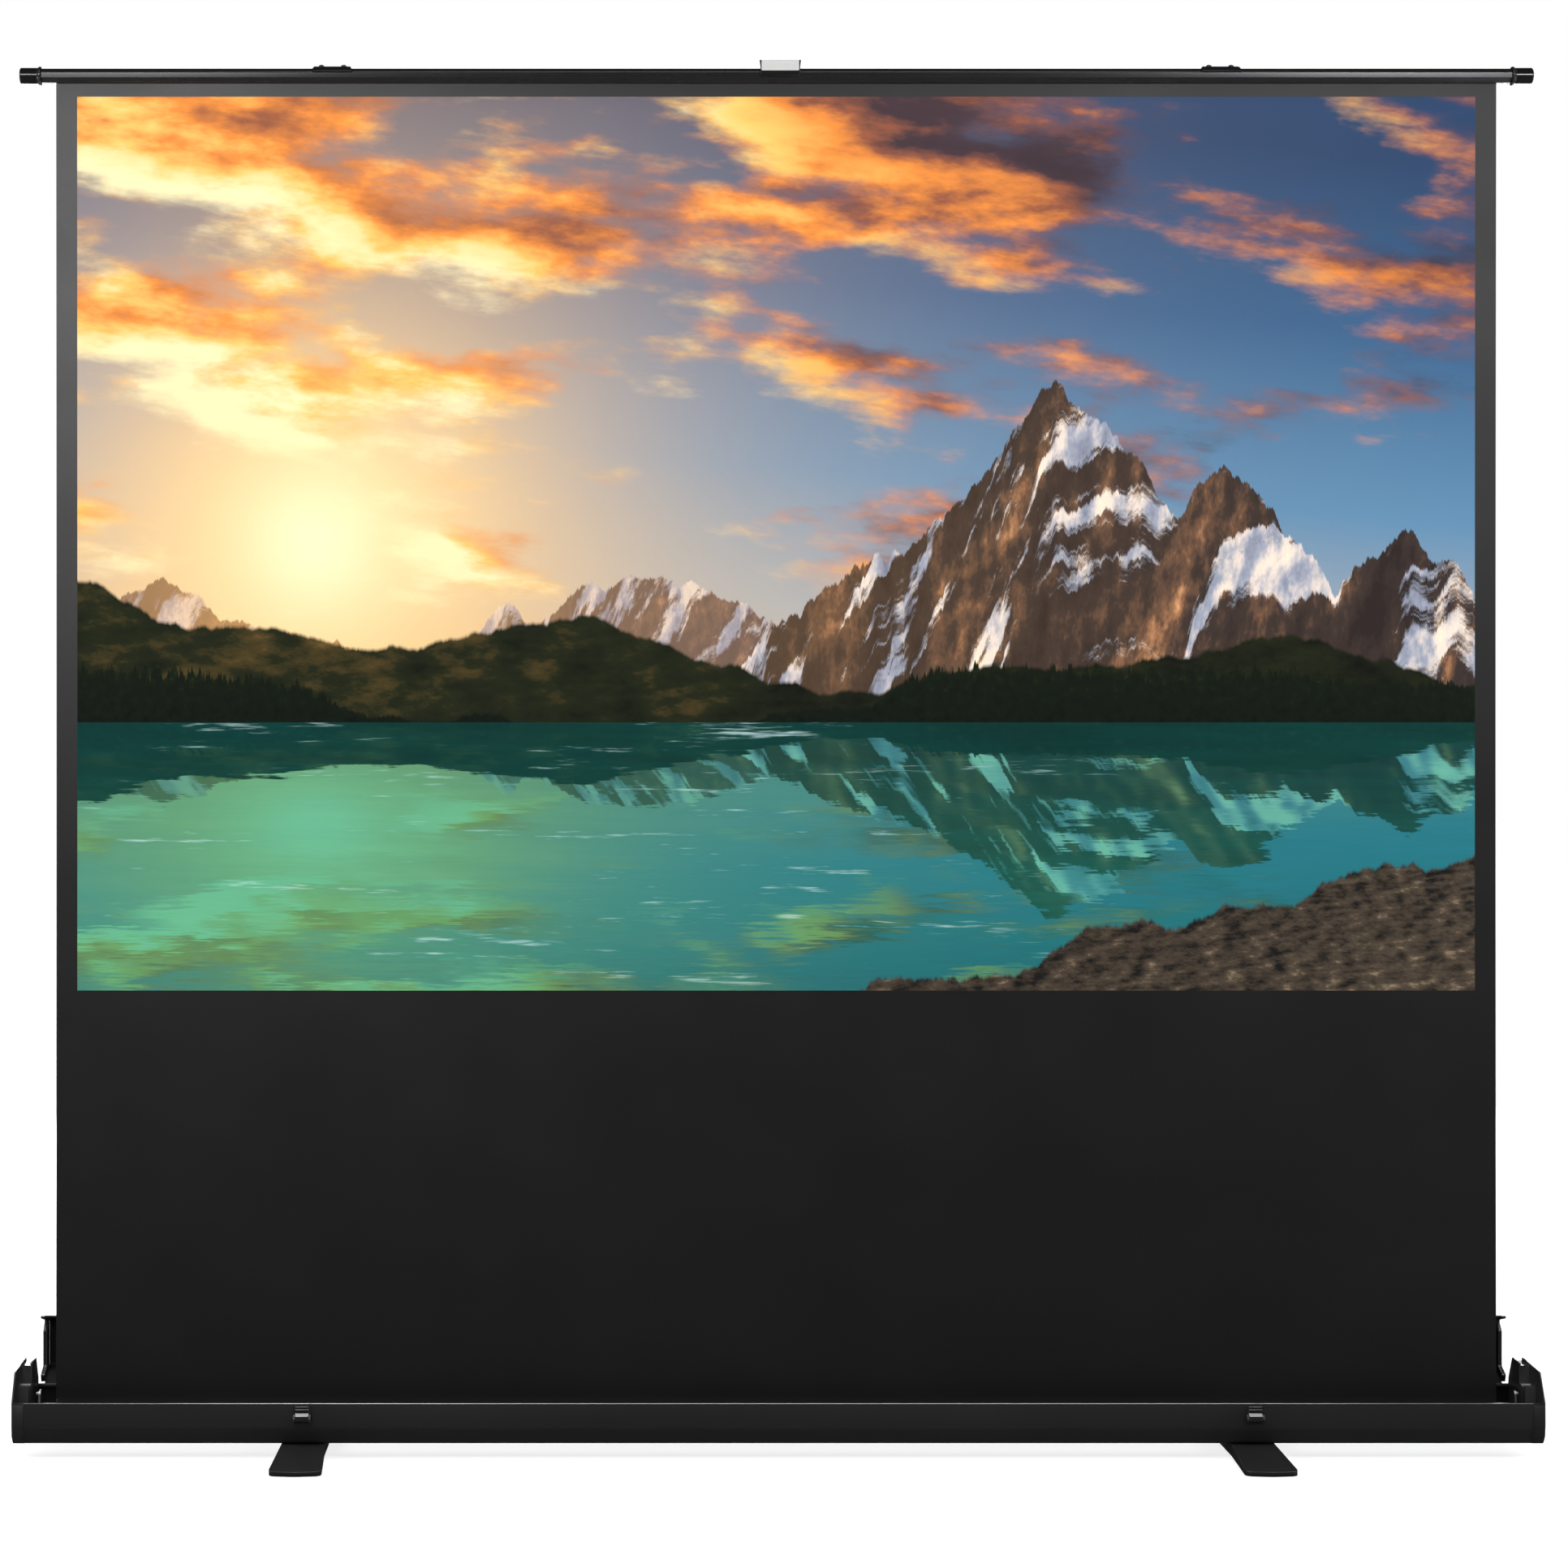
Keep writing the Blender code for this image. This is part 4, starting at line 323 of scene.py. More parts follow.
def flatPoint(finish, across, up):
    return finish.node("ShaderNodeCombineXYZ", {}, {"X": across, "Y": up})


def grainAt(finish, across, up, detail=8, rough=0.6, kind="FBM"):
    sockets = {"Vector": flatPoint(finish, across, up), "Scale": 1, "Detail": detail, "Roughness": rough}
    return finish.node("ShaderNodeTexNoise", {"noise_type": kind}, sockets)


# Light and shade of a rough surface: its height here less its height a little towards the light
def relief(finish, across, up, lean, reach, **kind):
    here = grainAt(finish, across, up, **kind)
    beyond = grainAt(finish, across + lean[0] * reach, up + lean[1] * reach, **kind)
    return here, here - beyond


def ridgeMask(finish, up, height, soft=0.003):
    return finish.fade(height - up, 0, soft)


def sunGap(across, up, look):
    sunX, sunZ = look["glow"]
    return ((across - sunX) * look["aspect"]) ** 2 + (up - sunZ) ** 2


def paintSky(finish, across, up, look, coarse):
    rise = (up - look["horizon"]) / (1 - look["horizon"])
    far = sunGap(across, up, look)
    glow = 1 / (1 + 9 * far)
    colour = finish.ramp(rise + 0.20 * (across - 0.45), look["sky"])
    colour = finish.mix(glow ** 1.6, colour, look["warmth"])
    colour = finish.mix(1 / (1 + 90 * far), colour, look["core"])
    spotX = across * 3.1 - up * 1.1
    spotY = up * 5.2 + across * 1.3
    thick, edge = relief(finish, spotX, spotY, (-0.55, -0.85), 0.16, detail=7 - coarse, rough=0.56)
    wisps = grainAt(finish, across * 6 + 3, up * 19 + across * 4, 5 - coarse, 0.62)
    torn = thick + 0.20 * (wisps - 0.5) + 0.16 * (rise - 0.45) - 0.10 * (across - 0.3)
    tone = 0.24 + finish.fade(edge, -0.10, 0.13) * 0.52 + 0.55 * glow
    tone = tone - 1.15 * (thick - 0.55) - 0.10 * across
    cover = finish.fade(torn, 0.47, 0.60) * 0.96
    return finish.mix(cover, colour, finish.ramp(tone, look["cloud"]))


# One range of rock and snow, lit from the side of the setting sun
def mountain(finish, across, up, look, coarse, peaks, low, crest, seed, scale, haze):
    highest = 0
    for centre, reach, height in peaks:
        cone = 1 - across.maths("ABSOLUTE", across - centre) / reach
        highest = across.maths("MAXIMUM", highest, cone.maths("MAXIMUM", cone, 0) ** 1.2 * height)
    top = low + highest + (finish.line(across, 9, seed, 9, 0.64) - 0.5) * crest
    below = top - up
    spotX = across * scale * look["aspect"] + seed
    spotY = up * scale * 0.62 - across * scale * 0.40
    height, lit = relief(finish, spotX, spotY, (-0.8, 0.5), 0.14, detail=7 - coarse, rough=0.58)
    fine, fineLit = relief(
        finish, spotX * 3.7, spotY * 2.6, (-0.8, 0.5), 0.16, detail=5 - coarse, rough=0.68)
    light = 0.33 + lit * 3.0 + fineLit * 2.2
    gully = grainAt(finish, spotX * 3.4 + below * 9, spotY * 0.8 - below * 2, 6 - coarse, 0.66)
    snow = finish.fade(gully - 0.5 * lit - 0.34 * below + 0.10 * (fine - 0.5), 0.49, 0.55)
    face = finish.mix(snow, finish.ramp(light, look["rock"]), finish.ramp(light + 0.24, look["snow"]))
    face = finish.mix(haze, face, look["haze"])
    warm = 1 / (1 + 26 * sunGap(across, up, look))
    return top, finish.mix(warm * 0.55, face, look["warmth"])


def skyAndLand(finish, across, up, look, coarse=0):
    colour = paintSky(finish, across, up, look, coarse)
    for ridge in ridges:
        top, face = mountain(finish, across, up, look, coarse, **ridge)
        colour = finish.mix(ridgeMask(finish, up, top), colour, face)

    hills = look["hills"]
    rolling = finish.line(across, hills["scale"], hills["seed"], 8, 0.55) * hills["height"]
    hillTop = hills["foot"] + rolling - hills["fall"] * across
    soil, soilLit = relief(
        finish, across * 13 + up * 8, up * 17 - across * 5, (-0.8, 0.6), 0.3, detail=6 - coarse, rough=0.66)
    warm = 0.30 / (1 + 9 * sunGap(across, up, look))
    shade = finish.ramp(soil * 0.55 + soilLit * 1.1 + warm - 0.04, look["slope"])
    colour = finish.mix(ridgeMask(finish, up, hillTop, hills["soft"]), colour, shade)

    woods = look["woods"]
    spikes = finish.line(across, woods["tips"], woods["tipSeed"], 3, 0.8) * woods["tipHeight"]
    stand = finish.fade(finish.line(across, woods["stands"], woods["standSeed"], 4, 0.5), 0.34, 0.60)
    woodTop = look["horizon"] - woods["sink"] + stand * (woods["depth"] + spikes)
    leaf = grainAt(finish, across * 150, up * 85, 3 - coarse, 0.7)
    lift = (up - look["horizon"]) * 3.2
    trees = finish.ramp(leaf - 0.18 + lift, look["wood"])
    return finish.mix(ridgeMask(finish, up, woodTop, woods["soft"]), colour, trees)


def pictureStart(name):
    finish = Finish(name, Specular_IOR_Level=0.12, Roughness=0.75)
    spot = clothPlace(finish)
    split = finish.node("ShaderNodeSeparateXYZ", {}, {"Vector": spot}, "X")
    across = (split - fieldShares["left"]) / (fieldShares["right"] - fieldShares["left"])
    rise = Wire(finish.tree, split.socket.node.outputs["Y"])
    up = (rise - fieldShares["low"]) / (fieldShares["top"] - fieldShares["low"])
    return finish, spot, across, up


def pictureEnd(finish, spot, colour, cloth):
    finish.paint(Base_Color=colour, Roughness=0.70 + 0.1 * finish.noise(spot, 40, 3))
    weaveBump(finish, spot, cloth)
    finishes[finish.material.name] = finish.material


def paintLand(name, look, cloth):
    finish, spot, across, up = pictureStart(name)
    pictureEnd(finish, spot, skyAndLand(finish, across, up, look), cloth)


def paintLake(name, look, cloth):
    finish, spot, across, up = pictureStart(name)
    depth = look["horizon"] - up
    swell = grainAt(finish, across * 5, up * 46 + across * 2, 5, 0.6)
    ripple = grainAt(finish, across * 30, up * 300, 3, 0.6)
    blur = 0.02 + depth * 0.42
    mirror = skyAndLand(
        finish,
        across + (swell - 0.5) * blur * 0.30 + (ripple - 0.5) * blur * 0.20,
        look["horizon"] + depth * 1.75 + (swell - 0.5) * blur * 1.1 + (ripple - 0.5) * blur * 0.8,
        look,
        coarse=3,
    )
    deep = finish.mix(finish.fade(depth, 0.02, 0.26), look["water"], look["shallow"])
    water = finish.mix(0.86, mirror, look["tint"], "MULTIPLY")
    water = finish.mix(0.10 + 0.40 * swell, water, deep)
    middle = across - 0.35
    flash = finish.fade(swell * 0.8 + 0.45 * ripple - 0.30 * middle * middle, 0.70, 0.84)
    water = finish.mix(flash * 0.55, water, look["glint"])
    bank = look["bank"]
    uneven = bank["height"] * finish.line(across, bank["scale"], bank["seed"], 8, 0.62)
    ashore = uneven + bank["climb"] * (across - bank["start"]) - bank["drop"] - up
    stones, stoneLit = relief(
        finish, across * 44 + up * 12, up * 62 - across * 9, (-0.8, 0.6), 0.35, detail=5, rough=0.66)
    ground = finish.ramp(stones * 0.5 + stoneLit * 1.5 + ashore - 0.02, look["shore"])
    pictureEnd(finish, spot, finish.mix(finish.fade(ashore, 0, bank["soft"]), water, ground), cloth)


sheetLook = dict(halfWidth=1.102, low=0.0523, top=2.0964, thickness=0.0005,
                 fieldHalf=1.070, fieldLow=0.704, fieldTop=2.072,
                 rows=44, curl=0.0032, ripple=0.0009)
fieldShares = dict(
    left=0.5 - sheetLook["fieldHalf"] / (2 * sheetLook["halfWidth"]),
    right=0.5 + sheetLook["fieldHalf"] / (2 * sheetLook["halfWidth"]),
    low=(sheetLook["fieldLow"] - sheetLook["low"]) / (sheetLook["top"] - sheetLook["low"]),
    top=(sheetLook["fieldTop"] - sheetLook["low"]) / (sheetLook["top"] - sheetLook["low"]),
)
blackCloth("clothBorder", clothLook)
blackCloth("clothBack", dict(clothLook, black=(0.010,) * 3, faded=(0.016,) * 3, rough=0.60))
paintLand("clothLand", sceneryLook, clothLook)
paintLake("clothLake", sceneryLook, clothLook)
print("cloth finishes made")


# Mesh helpers

def clearPick():
    bpy.ops.object.select_all(action="DESELECT")


def pick(obj):
    clearPick()
    bpy.context.view_layer.objects.active = obj
    obj.select_set(True)


def applied(obj, kind, **settings):
    pick(obj)
    modifier = obj.modifiers.new(kind.title(), kind)
    for key, value in settings.items():
        setattr(modifier, key, value)
    bpy.ops.object.modifier_apply(modifier=modifier.name)


def smoothed(obj, degrees=32):
    pick(obj)
    bpy.ops.object.shade_smooth_by_angle(angle=math.radians(degrees))


def named(obj, name, *coats):
    obj.name = name
    obj.data.name = name
    obj.data.materials.clear()
    for coat in coats:
        obj.data.materials.append(finishes[coat])
    return obj


def twin(obj, name):
    made = obj.copy()
    made.data = obj.data.copy()
    bpy.context.scene.collection.objects.link(made)
    made.name = name
    made.data.name = name
    return made


def selectBy(kind):
    chosen = tuple(kind == each for each in ("points", "edges", "faces"))
    bpy.context.tool_settings.mesh_select_mode = chosen


def faceTowards(obj, direction, test=lambda centre: True):
    selectBy("faces")
    for part in (*obj.data.vertices, *obj.data.edges):
        part.select = False
    for face in obj.data.polygons:
        face.select = face.normal.dot(Vector(direction)) > 0.9 and test(face.center)


def edgesAlong(obj, direction):
    selectBy("edges")
    for part in (*obj.data.vertices, *obj.data.polygons):
        part.select = False
    for edge in obj.data.edges:
        start, end = (obj.data.vertices[point].co for point in edge.vertices)
        edge.select = abs((start - end).normalized().dot(Vector(direction))) > 0.9


def setPlace(obj):
    pick(obj)
    bpy.ops.object.transform_apply(location=True, rotation=True, scale=True)


# Rigid pieces: clean copies of the solids with rounded edges in a lighter finish, partly wear and partly
# painted highlight

cleanLook = dict(merge=0.00002, flat=0.6, bevelFrom=38, segments=2)  # metres, degrees
sheetMetal = dict(slot="black_case", coat="caseMetal", rim="caseEdgeWearAndPaintedSheen")
moulded = dict(slot="black_plastic", coat="capPlastic", rim="capEdgeWearAndPaintedSheen")
glossy = dict(moulded, coat="glossPlastic")
latchMade = dict(moulded, slot="zinc_steel")
footMade = dict(slot="foot_plastic", coat="footPlastic", rim="footEdgeWearAndPaintedSheen")
armMade = dict(slot="arm_metal", coat="armMetal", rim="caseEdgeWearAndPaintedSheen")
barMade = dict(slot="bar_metal", coat="barMetal", rim="caseEdgeWearAndPaintedSheen")
dressing = {
    "case_shell": dict(sheetMetal, node="base_trough", body="housing", edge=0.0005),
    "case_cap_left": dict(moulded, node="end_cap_left", body="housing", edge=0.0005),
    "case_cap_right": dict(moulded, node="end_cap_right", body="housing", edge=0.0005),
    "latch_tab_left": dict(latchMade, node="latch_lever_left", body="left_latch", edge=0.0003),
    "latch_tab_right": dict(latchMade, node="latch_lever_right", body="right_latch", edge=0.0003),
    "grip_mount_left": dict(moulded, node="handle_mount_left", body="housing", edge=0.0006),
    "grip_mount_right": dict(moulded, node="handle_mount_right", body="housing", edge=0.0006),
    "lid_shell": dict(sheetMetal, node="lid_panel", body="lid", edge=0.0004),
    "lid_band_left": dict(moulded, node="lid_end_left", body="lid", edge=0.0004),
    "lid_band_right": dict(moulded, node="lid_end_right", body="lid", edge=0.0004),
    "bar_tube": dict(barMade, node="top_bar", body="bar", edge=0.0003),
    "bar_cap_left": dict(glossy, node="bar_end_left", body="bar", edge=0.0004),
    "bar_cap_right": dict(glossy, node="bar_end_right", body="bar", edge=0.0004),
    "bar_saddle_left": dict(moulded, node="arm_saddle_left", body="bar", edge=0.0004),
    "bar_saddle_right": dict(moulded, node="arm_saddle_right", body="bar", edge=0.0004),
    "pull_grip": dict(moulded, node="pull_handle", body="bar", edge=0.0004),
    "foot_plate_left": dict(footMade, node="foot_left", body="left_foot", edge=0.0009),
    "foot_plate_right": dict(footMade, node="foot_right", body="right_foot", edge=0.0009),
    "link_lower_left": dict(armMade, node="lower_arm_left", body="lower_link_left", edge=0.0005),
    "link_upper_left": dict(armMade, node="upper_arm_left", body="upper_link_left", edge=0.0005),
    "link_lower_right": dict(armMade, node="lower_arm_right", body="lower_link_right", edge=0.0005),
    "link_upper_right": dict(armMade, node="upper_arm_right", body="upper_link_right", edge=0.0005),
}


def cleanCopy(node, name, look=cleanLook):
    made = twin(nodes[node], name)
    made.parent = None
    for key in [key for key in made.keys() if key.startswith("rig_")]:
        del made[key]
    pick(made)
    bpy.ops.object.mode_set(mode="EDIT")
    bpy.ops.mesh.select_all(action="SELECT")
    bpy.ops.mesh.remove_doubles(threshold=look["merge"])
    bpy.ops.mesh.dissolve_limited(angle_limit=math.radians(look["flat"]))
    bpy.ops.object.mode_set(mode="OBJECT")
    return made


def dress(name, look):
    made = cleanCopy(look["node"], name)
    named(made, name, look["coat"], look["rim"])
    for face in made.data.polygons:
        face.material_index = 0
    # the bevels take the second, lighter finish: partly wear, partly painted highlight
    applied(made, "BEVEL", width=look["edge"], segments=cleanLook["segments"], limit_method="ANGLE",
            angle_limit=math.radians(cleanLook["bevelFrom"]), material=1, use_clamp_overlap=True)
    smoothed(made)
    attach(made, look["body"])
    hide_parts(look["node"])
    return made


# Faces of a piece that face the lamps, in front of and above a place and facing one way, get a lighter
# finish: a painted highlight
ledge = dict(before=-0.061, above=0.060, facing=(0, -0.5, 0.866), tilt=0.90, coat="ledgePaintedHighlight")
lip = dict(before=-0.045, above=0.0775, facing=(0, -0.707, 0.707), tilt=0.88, coat="lipPaintedHighlight")
shines = {"case_shell": lip, "latch_tab_left": ledge, "latch_tab_right": ledge}


def shine(made, look):
    made.data.materials.append(finishes[look["coat"]])
    for face in made.data.polygons:
        near = face.center.y < look["before"] and face.center.z > look["above"]
        if near and face.normal.dot(Vector(look["facing"])) > look["tilt"]:
            face.material_index = len(made.data.materials) - 1


for dressName, dressLook in dressing.items():
    dressed = dress(dressName, dressLook)
    if dressName in shines:
        shine(dressed, shines[dressName])
print("rigid pieces dressed:", len(dressing))


# Screws with a cross recess

screwLook = dict(recessReach=0.0023, recessWidth=0.0009, recessDepth=0.0011, edge=0.0002, bevelFrom=50)
screws = {
    "cap_screw_left_front": ("housing", (-1, 0, 0)),
    "cap_screw_left_rear": ("housing", (-1, 0, 0)),
    "cap_screw_right_front": ("housing", (1, 0, 0)),
    "cap_screw_right_rear": ("housing", (1, 0, 0)),
    "saddle_screw_left_outer": ("bar", (0, 0, 1)),
    "saddle_screw_left_inner": ("bar", (0, 0, 1)),
    "saddle_screw_right_inner": ("bar", (0, 0, 1)),
    "saddle_screw_right_outer": ("bar", (0, 0, 1)),
}


def onAxis(gap, side, out):
    return (gap - side * gap.dot(side) - out * gap.dot(out)).length < 0.0001


def crossCutter(tip, outward, look):
    out = Vector(outward)
    clearPick()
    bpy.ops.mesh.primitive_cube_add(size=look["recessWidth"], location=tip)
    cutter = bpy.context.object
    depth = look["recessDepth"] / look["recessWidth"] * 2
    cutter.scale = [depth if abs(value) > 0.5 else 1 for value in out]
    setPlace(cutter)
    reach = look["recessReach"] - look["recessWidth"] / 2
    for side in (Vector((0, 1, 0)), Vector((0, -1, 0)), Vector((1, 0, 0)), Vector((-1, 0, 0)),
                 Vector((0, 0, 1)), Vector((0, 0, -1))):
        if abs(side.dot(out)) > 0.5:
            continue
        pick(cutter)
        faceTowards(cutter, side, lambda centre: onAxis(centre - tip, side, out))
        bpy.ops.object.mode_set(mode="EDIT")
        bpy.ops.mesh.extrude_region_move(TRANSFORM_OT_translate={"value": side * reach})
        bpy.ops.object.mode_set(mode="OBJECT")
    return cutter


def crossScrew(node, body, outward, look):
    made = named(cleanCopy(node, node + "_cross"), node + "_cross", "zincSteel")
    low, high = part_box(node)
    middle = (low + high) / 2
    out = Vector(outward)
    tip = middle + out * abs((high - low).dot(out)) / 2
    applied(made, "BEVEL", width=look["edge"], segments=2, limit_method="ANGLE",
            angle_limit=math.radians(look["bevelFrom"]))
    cutter = crossCutter(tip, outward, look)
    applied(made, "BOOLEAN", operation="DIFFERENCE", object=cutter, solver="EXACT")
    bpy.data.objects.remove(cutter)
    smoothed(made)
    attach(made, body)
    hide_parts(node)


for screwNode, (screwBody, screwOut) in screws.items():
    crossScrew(screwNode, screwBody, screwOut, screwLook)
print("screws cut:", len(screws))


# Blank label pad in the pull handle

padLook = dict(centre=(0.0055, -0.01415, 2.1170), size=(0.0574, 0.0010, 0.0158), corner=0.0016,
               frame=0.0008, sunk=0.00012)


def labelPad(look):
    clearPick()
    bpy.ops.mesh.primitive_cube_add(size=1, location=look["centre"])
    pad = bpy.context.object
    pad.scale = look["size"]
    setPlace(pad)
    pick(pad)
    edgesAlong(pad, (0, 1, 0))
    bpy.ops.object.mode_set(mode="EDIT")
    bpy.ops.mesh.bevel(offset=look["corner"], segments=4)
    bpy.ops.object.mode_set(mode="OBJECT")
    faceTowards(pad, (0, -1, 0))
    bpy.ops.object.mode_set(mode="EDIT")
    bpy.ops.mesh.inset(thickness=look["frame"])
    bpy.ops.mesh.extrude_region_move(TRANSFORM_OT_translate={"value": (0, look["sunk"], 0)})
    bpy.ops.object.mode_set(mode="OBJECT")
    named(pad, "label_pad", "labelBlank")
    smoothed(pad)
    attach(pad, "bar")


labelPad(padLook)
print("label pad made")


# Screen cloth, stretched between the roll and the bar

def stretchedSheet(look):
    clearPick()
    height = look["top"] - look["low"]
    middle = (look["top"] + look["low"]) / 2
    shore = look["fieldLow"] + sceneryLook["horizon"] * (look["fieldTop"] - look["fieldLow"])
    bpy.ops.mesh.primitive_plane_add(size=1, location=(0, 0, middle), rotation=(math.radians(90), 0, 0))
    sheet = bpy.context.object
    sheet.scale = (2 * look["halfWidth"], height, 1)
    setPlace(sheet)
    pick(sheet)
    bpy.ops.object.mode_set(mode="EDIT")
    bpy.ops.mesh.select_all(action="SELECT")
    bpy.ops.mesh.subdivide(number_cuts=look["rows"])
    for point, normal in (
        ((look["fieldHalf"], 0, 0), (1, 0, 0)),
        ((-look["fieldHalf"], 0, 0), (1, 0, 0)),
        ((0, 0, look["fieldLow"]), (0, 0, 1)),
        ((0, 0, shore), (0, 0, 1)),
        ((0, 0, look["fieldTop"]), (0, 0, 1)),
    ):
        bpy.ops.mesh.select_all(action="SELECT")
        bpy.ops.mesh.bisect(plane_co=point, plane_no=normal)
    bpy.ops.object.mode_set(mode="OBJECT")
    layer = sheet.data.uv_layers.new(name="cloth")
    for loop in sheet.data.loops:
        point = sheet.data.vertices[loop.vertex_index].co
        layer.data[loop.index].uv = (
            point.x / (2 * look["halfWidth"]) + 0.5, (point.z - look["low"]) / height
        )
    named(sheet, "screen_cloth", "clothBorder", "clothLand", "clothLake", "clothBack")
    for face in sheet.data.polygons:
        spot = face.center
        inside = abs(spot.x) < look["fieldHalf"] and look["fieldLow"] < spot.z < look["fieldTop"]
        face.material_index = (1 if spot.z > shore else 2) if inside else 0
    for point in sheet.data.vertices:
        share = (point.co.z - look["low"]) / height
        belly = math.sin(math.pi * share)
        edge = (abs(point.co.x) / look["halfWidth"]) ** 8
        wave = math.sin(point.co.x * 9.5 + 1.3) * math.sin(point.co.x * 3.1) * look["ripple"]
        point.co.y += belly * (edge * look["curl"] + wave)
    applied(sheet, "SOLIDIFY", thickness=look["thickness"], offset=0)
    for face in sheet.data.polygons:
        if face.normal.y > -0.5:
            face.material_index = 3 if face.normal.y > 0.5 else 0
    smoothed(sheet)
    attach(sheet, "housing")
    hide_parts("screen_fabric")
    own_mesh(sheet)


def woundCloth(look):
    points = []
    steps = look["turns"] * look["stepsPerTurn"]
    for side in (1, -1):
        ring = []
        for step in range(steps + 1):
            share = step / steps
            angle = share * look["turns"] * 2 * math.pi
            radius = look["start"] + share * look["turns"] * look["pitch"] + side * look["thickness"] / 2
            ring.append((
                look["axisY"] + radius * math.cos(angle), look["axisZ"] - radius * math.sin(angle)))
        points += ring if side == 1 else ring[::-1]
    half = look["halfWidth"]
    count = len(points)
    spots = [(x, y, z) for x in (-half, half) for y, z in points]
    faces = [(i, (i + 1) % count, count + (i + 1) % count, count + i) for i in range(count)]
    for i in range(steps):
        pair = (i, i + 1, count - 2 - i, count - 1 - i)
        faces.append(pair[::-1])
        faces.append(tuple(count + i for i in pair))
    mesh = bpy.data.meshes.new("roll_cloth")
    mesh.from_pydata(spots, [], faces)
    roll = bpy.data.objects.new("roll_cloth", mesh)
    bpy.context.scene.collection.objects.link(roll)
    pick(roll)
    bpy.ops.object.mode_set(mode="EDIT")
    bpy.ops.mesh.select_all(action="SELECT")
    bpy.ops.mesh.normals_make_consistent(inside=False)
    bpy.ops.object.mode_set(mode="OBJECT")
    layer = roll.data.uv_layers.new(name="cloth")
    for loop in roll.data.loops:
        point = roll.data.vertices[loop.vertex_index].co
        turn = math.atan2(point.z - look["axisZ"], point.y - look["axisY"]) / (2 * math.pi)
        layer.data[loop.index].uv = (point.x / (2 * half) + 0.5, turn * look["turnShare"])
    named(roll, "roll_cloth", "clothBack")
    smoothed(roll, 40)
    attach(roll, "roller")
    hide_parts("wound_fabric")


rollLook = dict(halfWidth=1.102, axisY=-0.02355, axisZ=0.052, start=0.02055, pitch=0.0010,
                thickness=0.0005, turns=3, stepsPerTurn=64,
                turnShare=0.07)  # one turn as a share of the raised cloth, so that the weave matches
stretchedSheet(sheetLook)
woundCloth(rollLook)
print("cloth made")


# Finishes for the solids that stay as they are

coats = {
    "zincSteel": ("base_pin_left", "base_pin_right", "top_pin_left", "top_pin_right", "knee_pin_left",
                  "knee_pin_right", "foot_pivot_left", "foot_pivot_right", "spring_shaft", "roller_spring",
                  "carry_handle", "fabric_rod"),
    "darkSteel": ("roller_bracket_left", "roller_bracket_right", "base_bracket_left", "base_bracket_right"),
    "tubeMetal": ("roller_tube",),
    "capPlastic": ("roller_plug_left", "roller_plug_right", "latch_base_left", "latch_base_right"),
    "padRubber": ("foot_pad_left_front", "foot_pad_left_back", "foot_pad_right_front",
                  "foot_pad_right_back"),
    "pressedFibre": ("knee_washer_left", "knee_washer_right"),
}
for coatName, coatNodes in coats.items():
    for nodeName in coatNodes:
        for holder in nodes[nodeName].material_slots:
            holder.material = finishes[coatName]
print("solids coated")


# Floor, light and camera

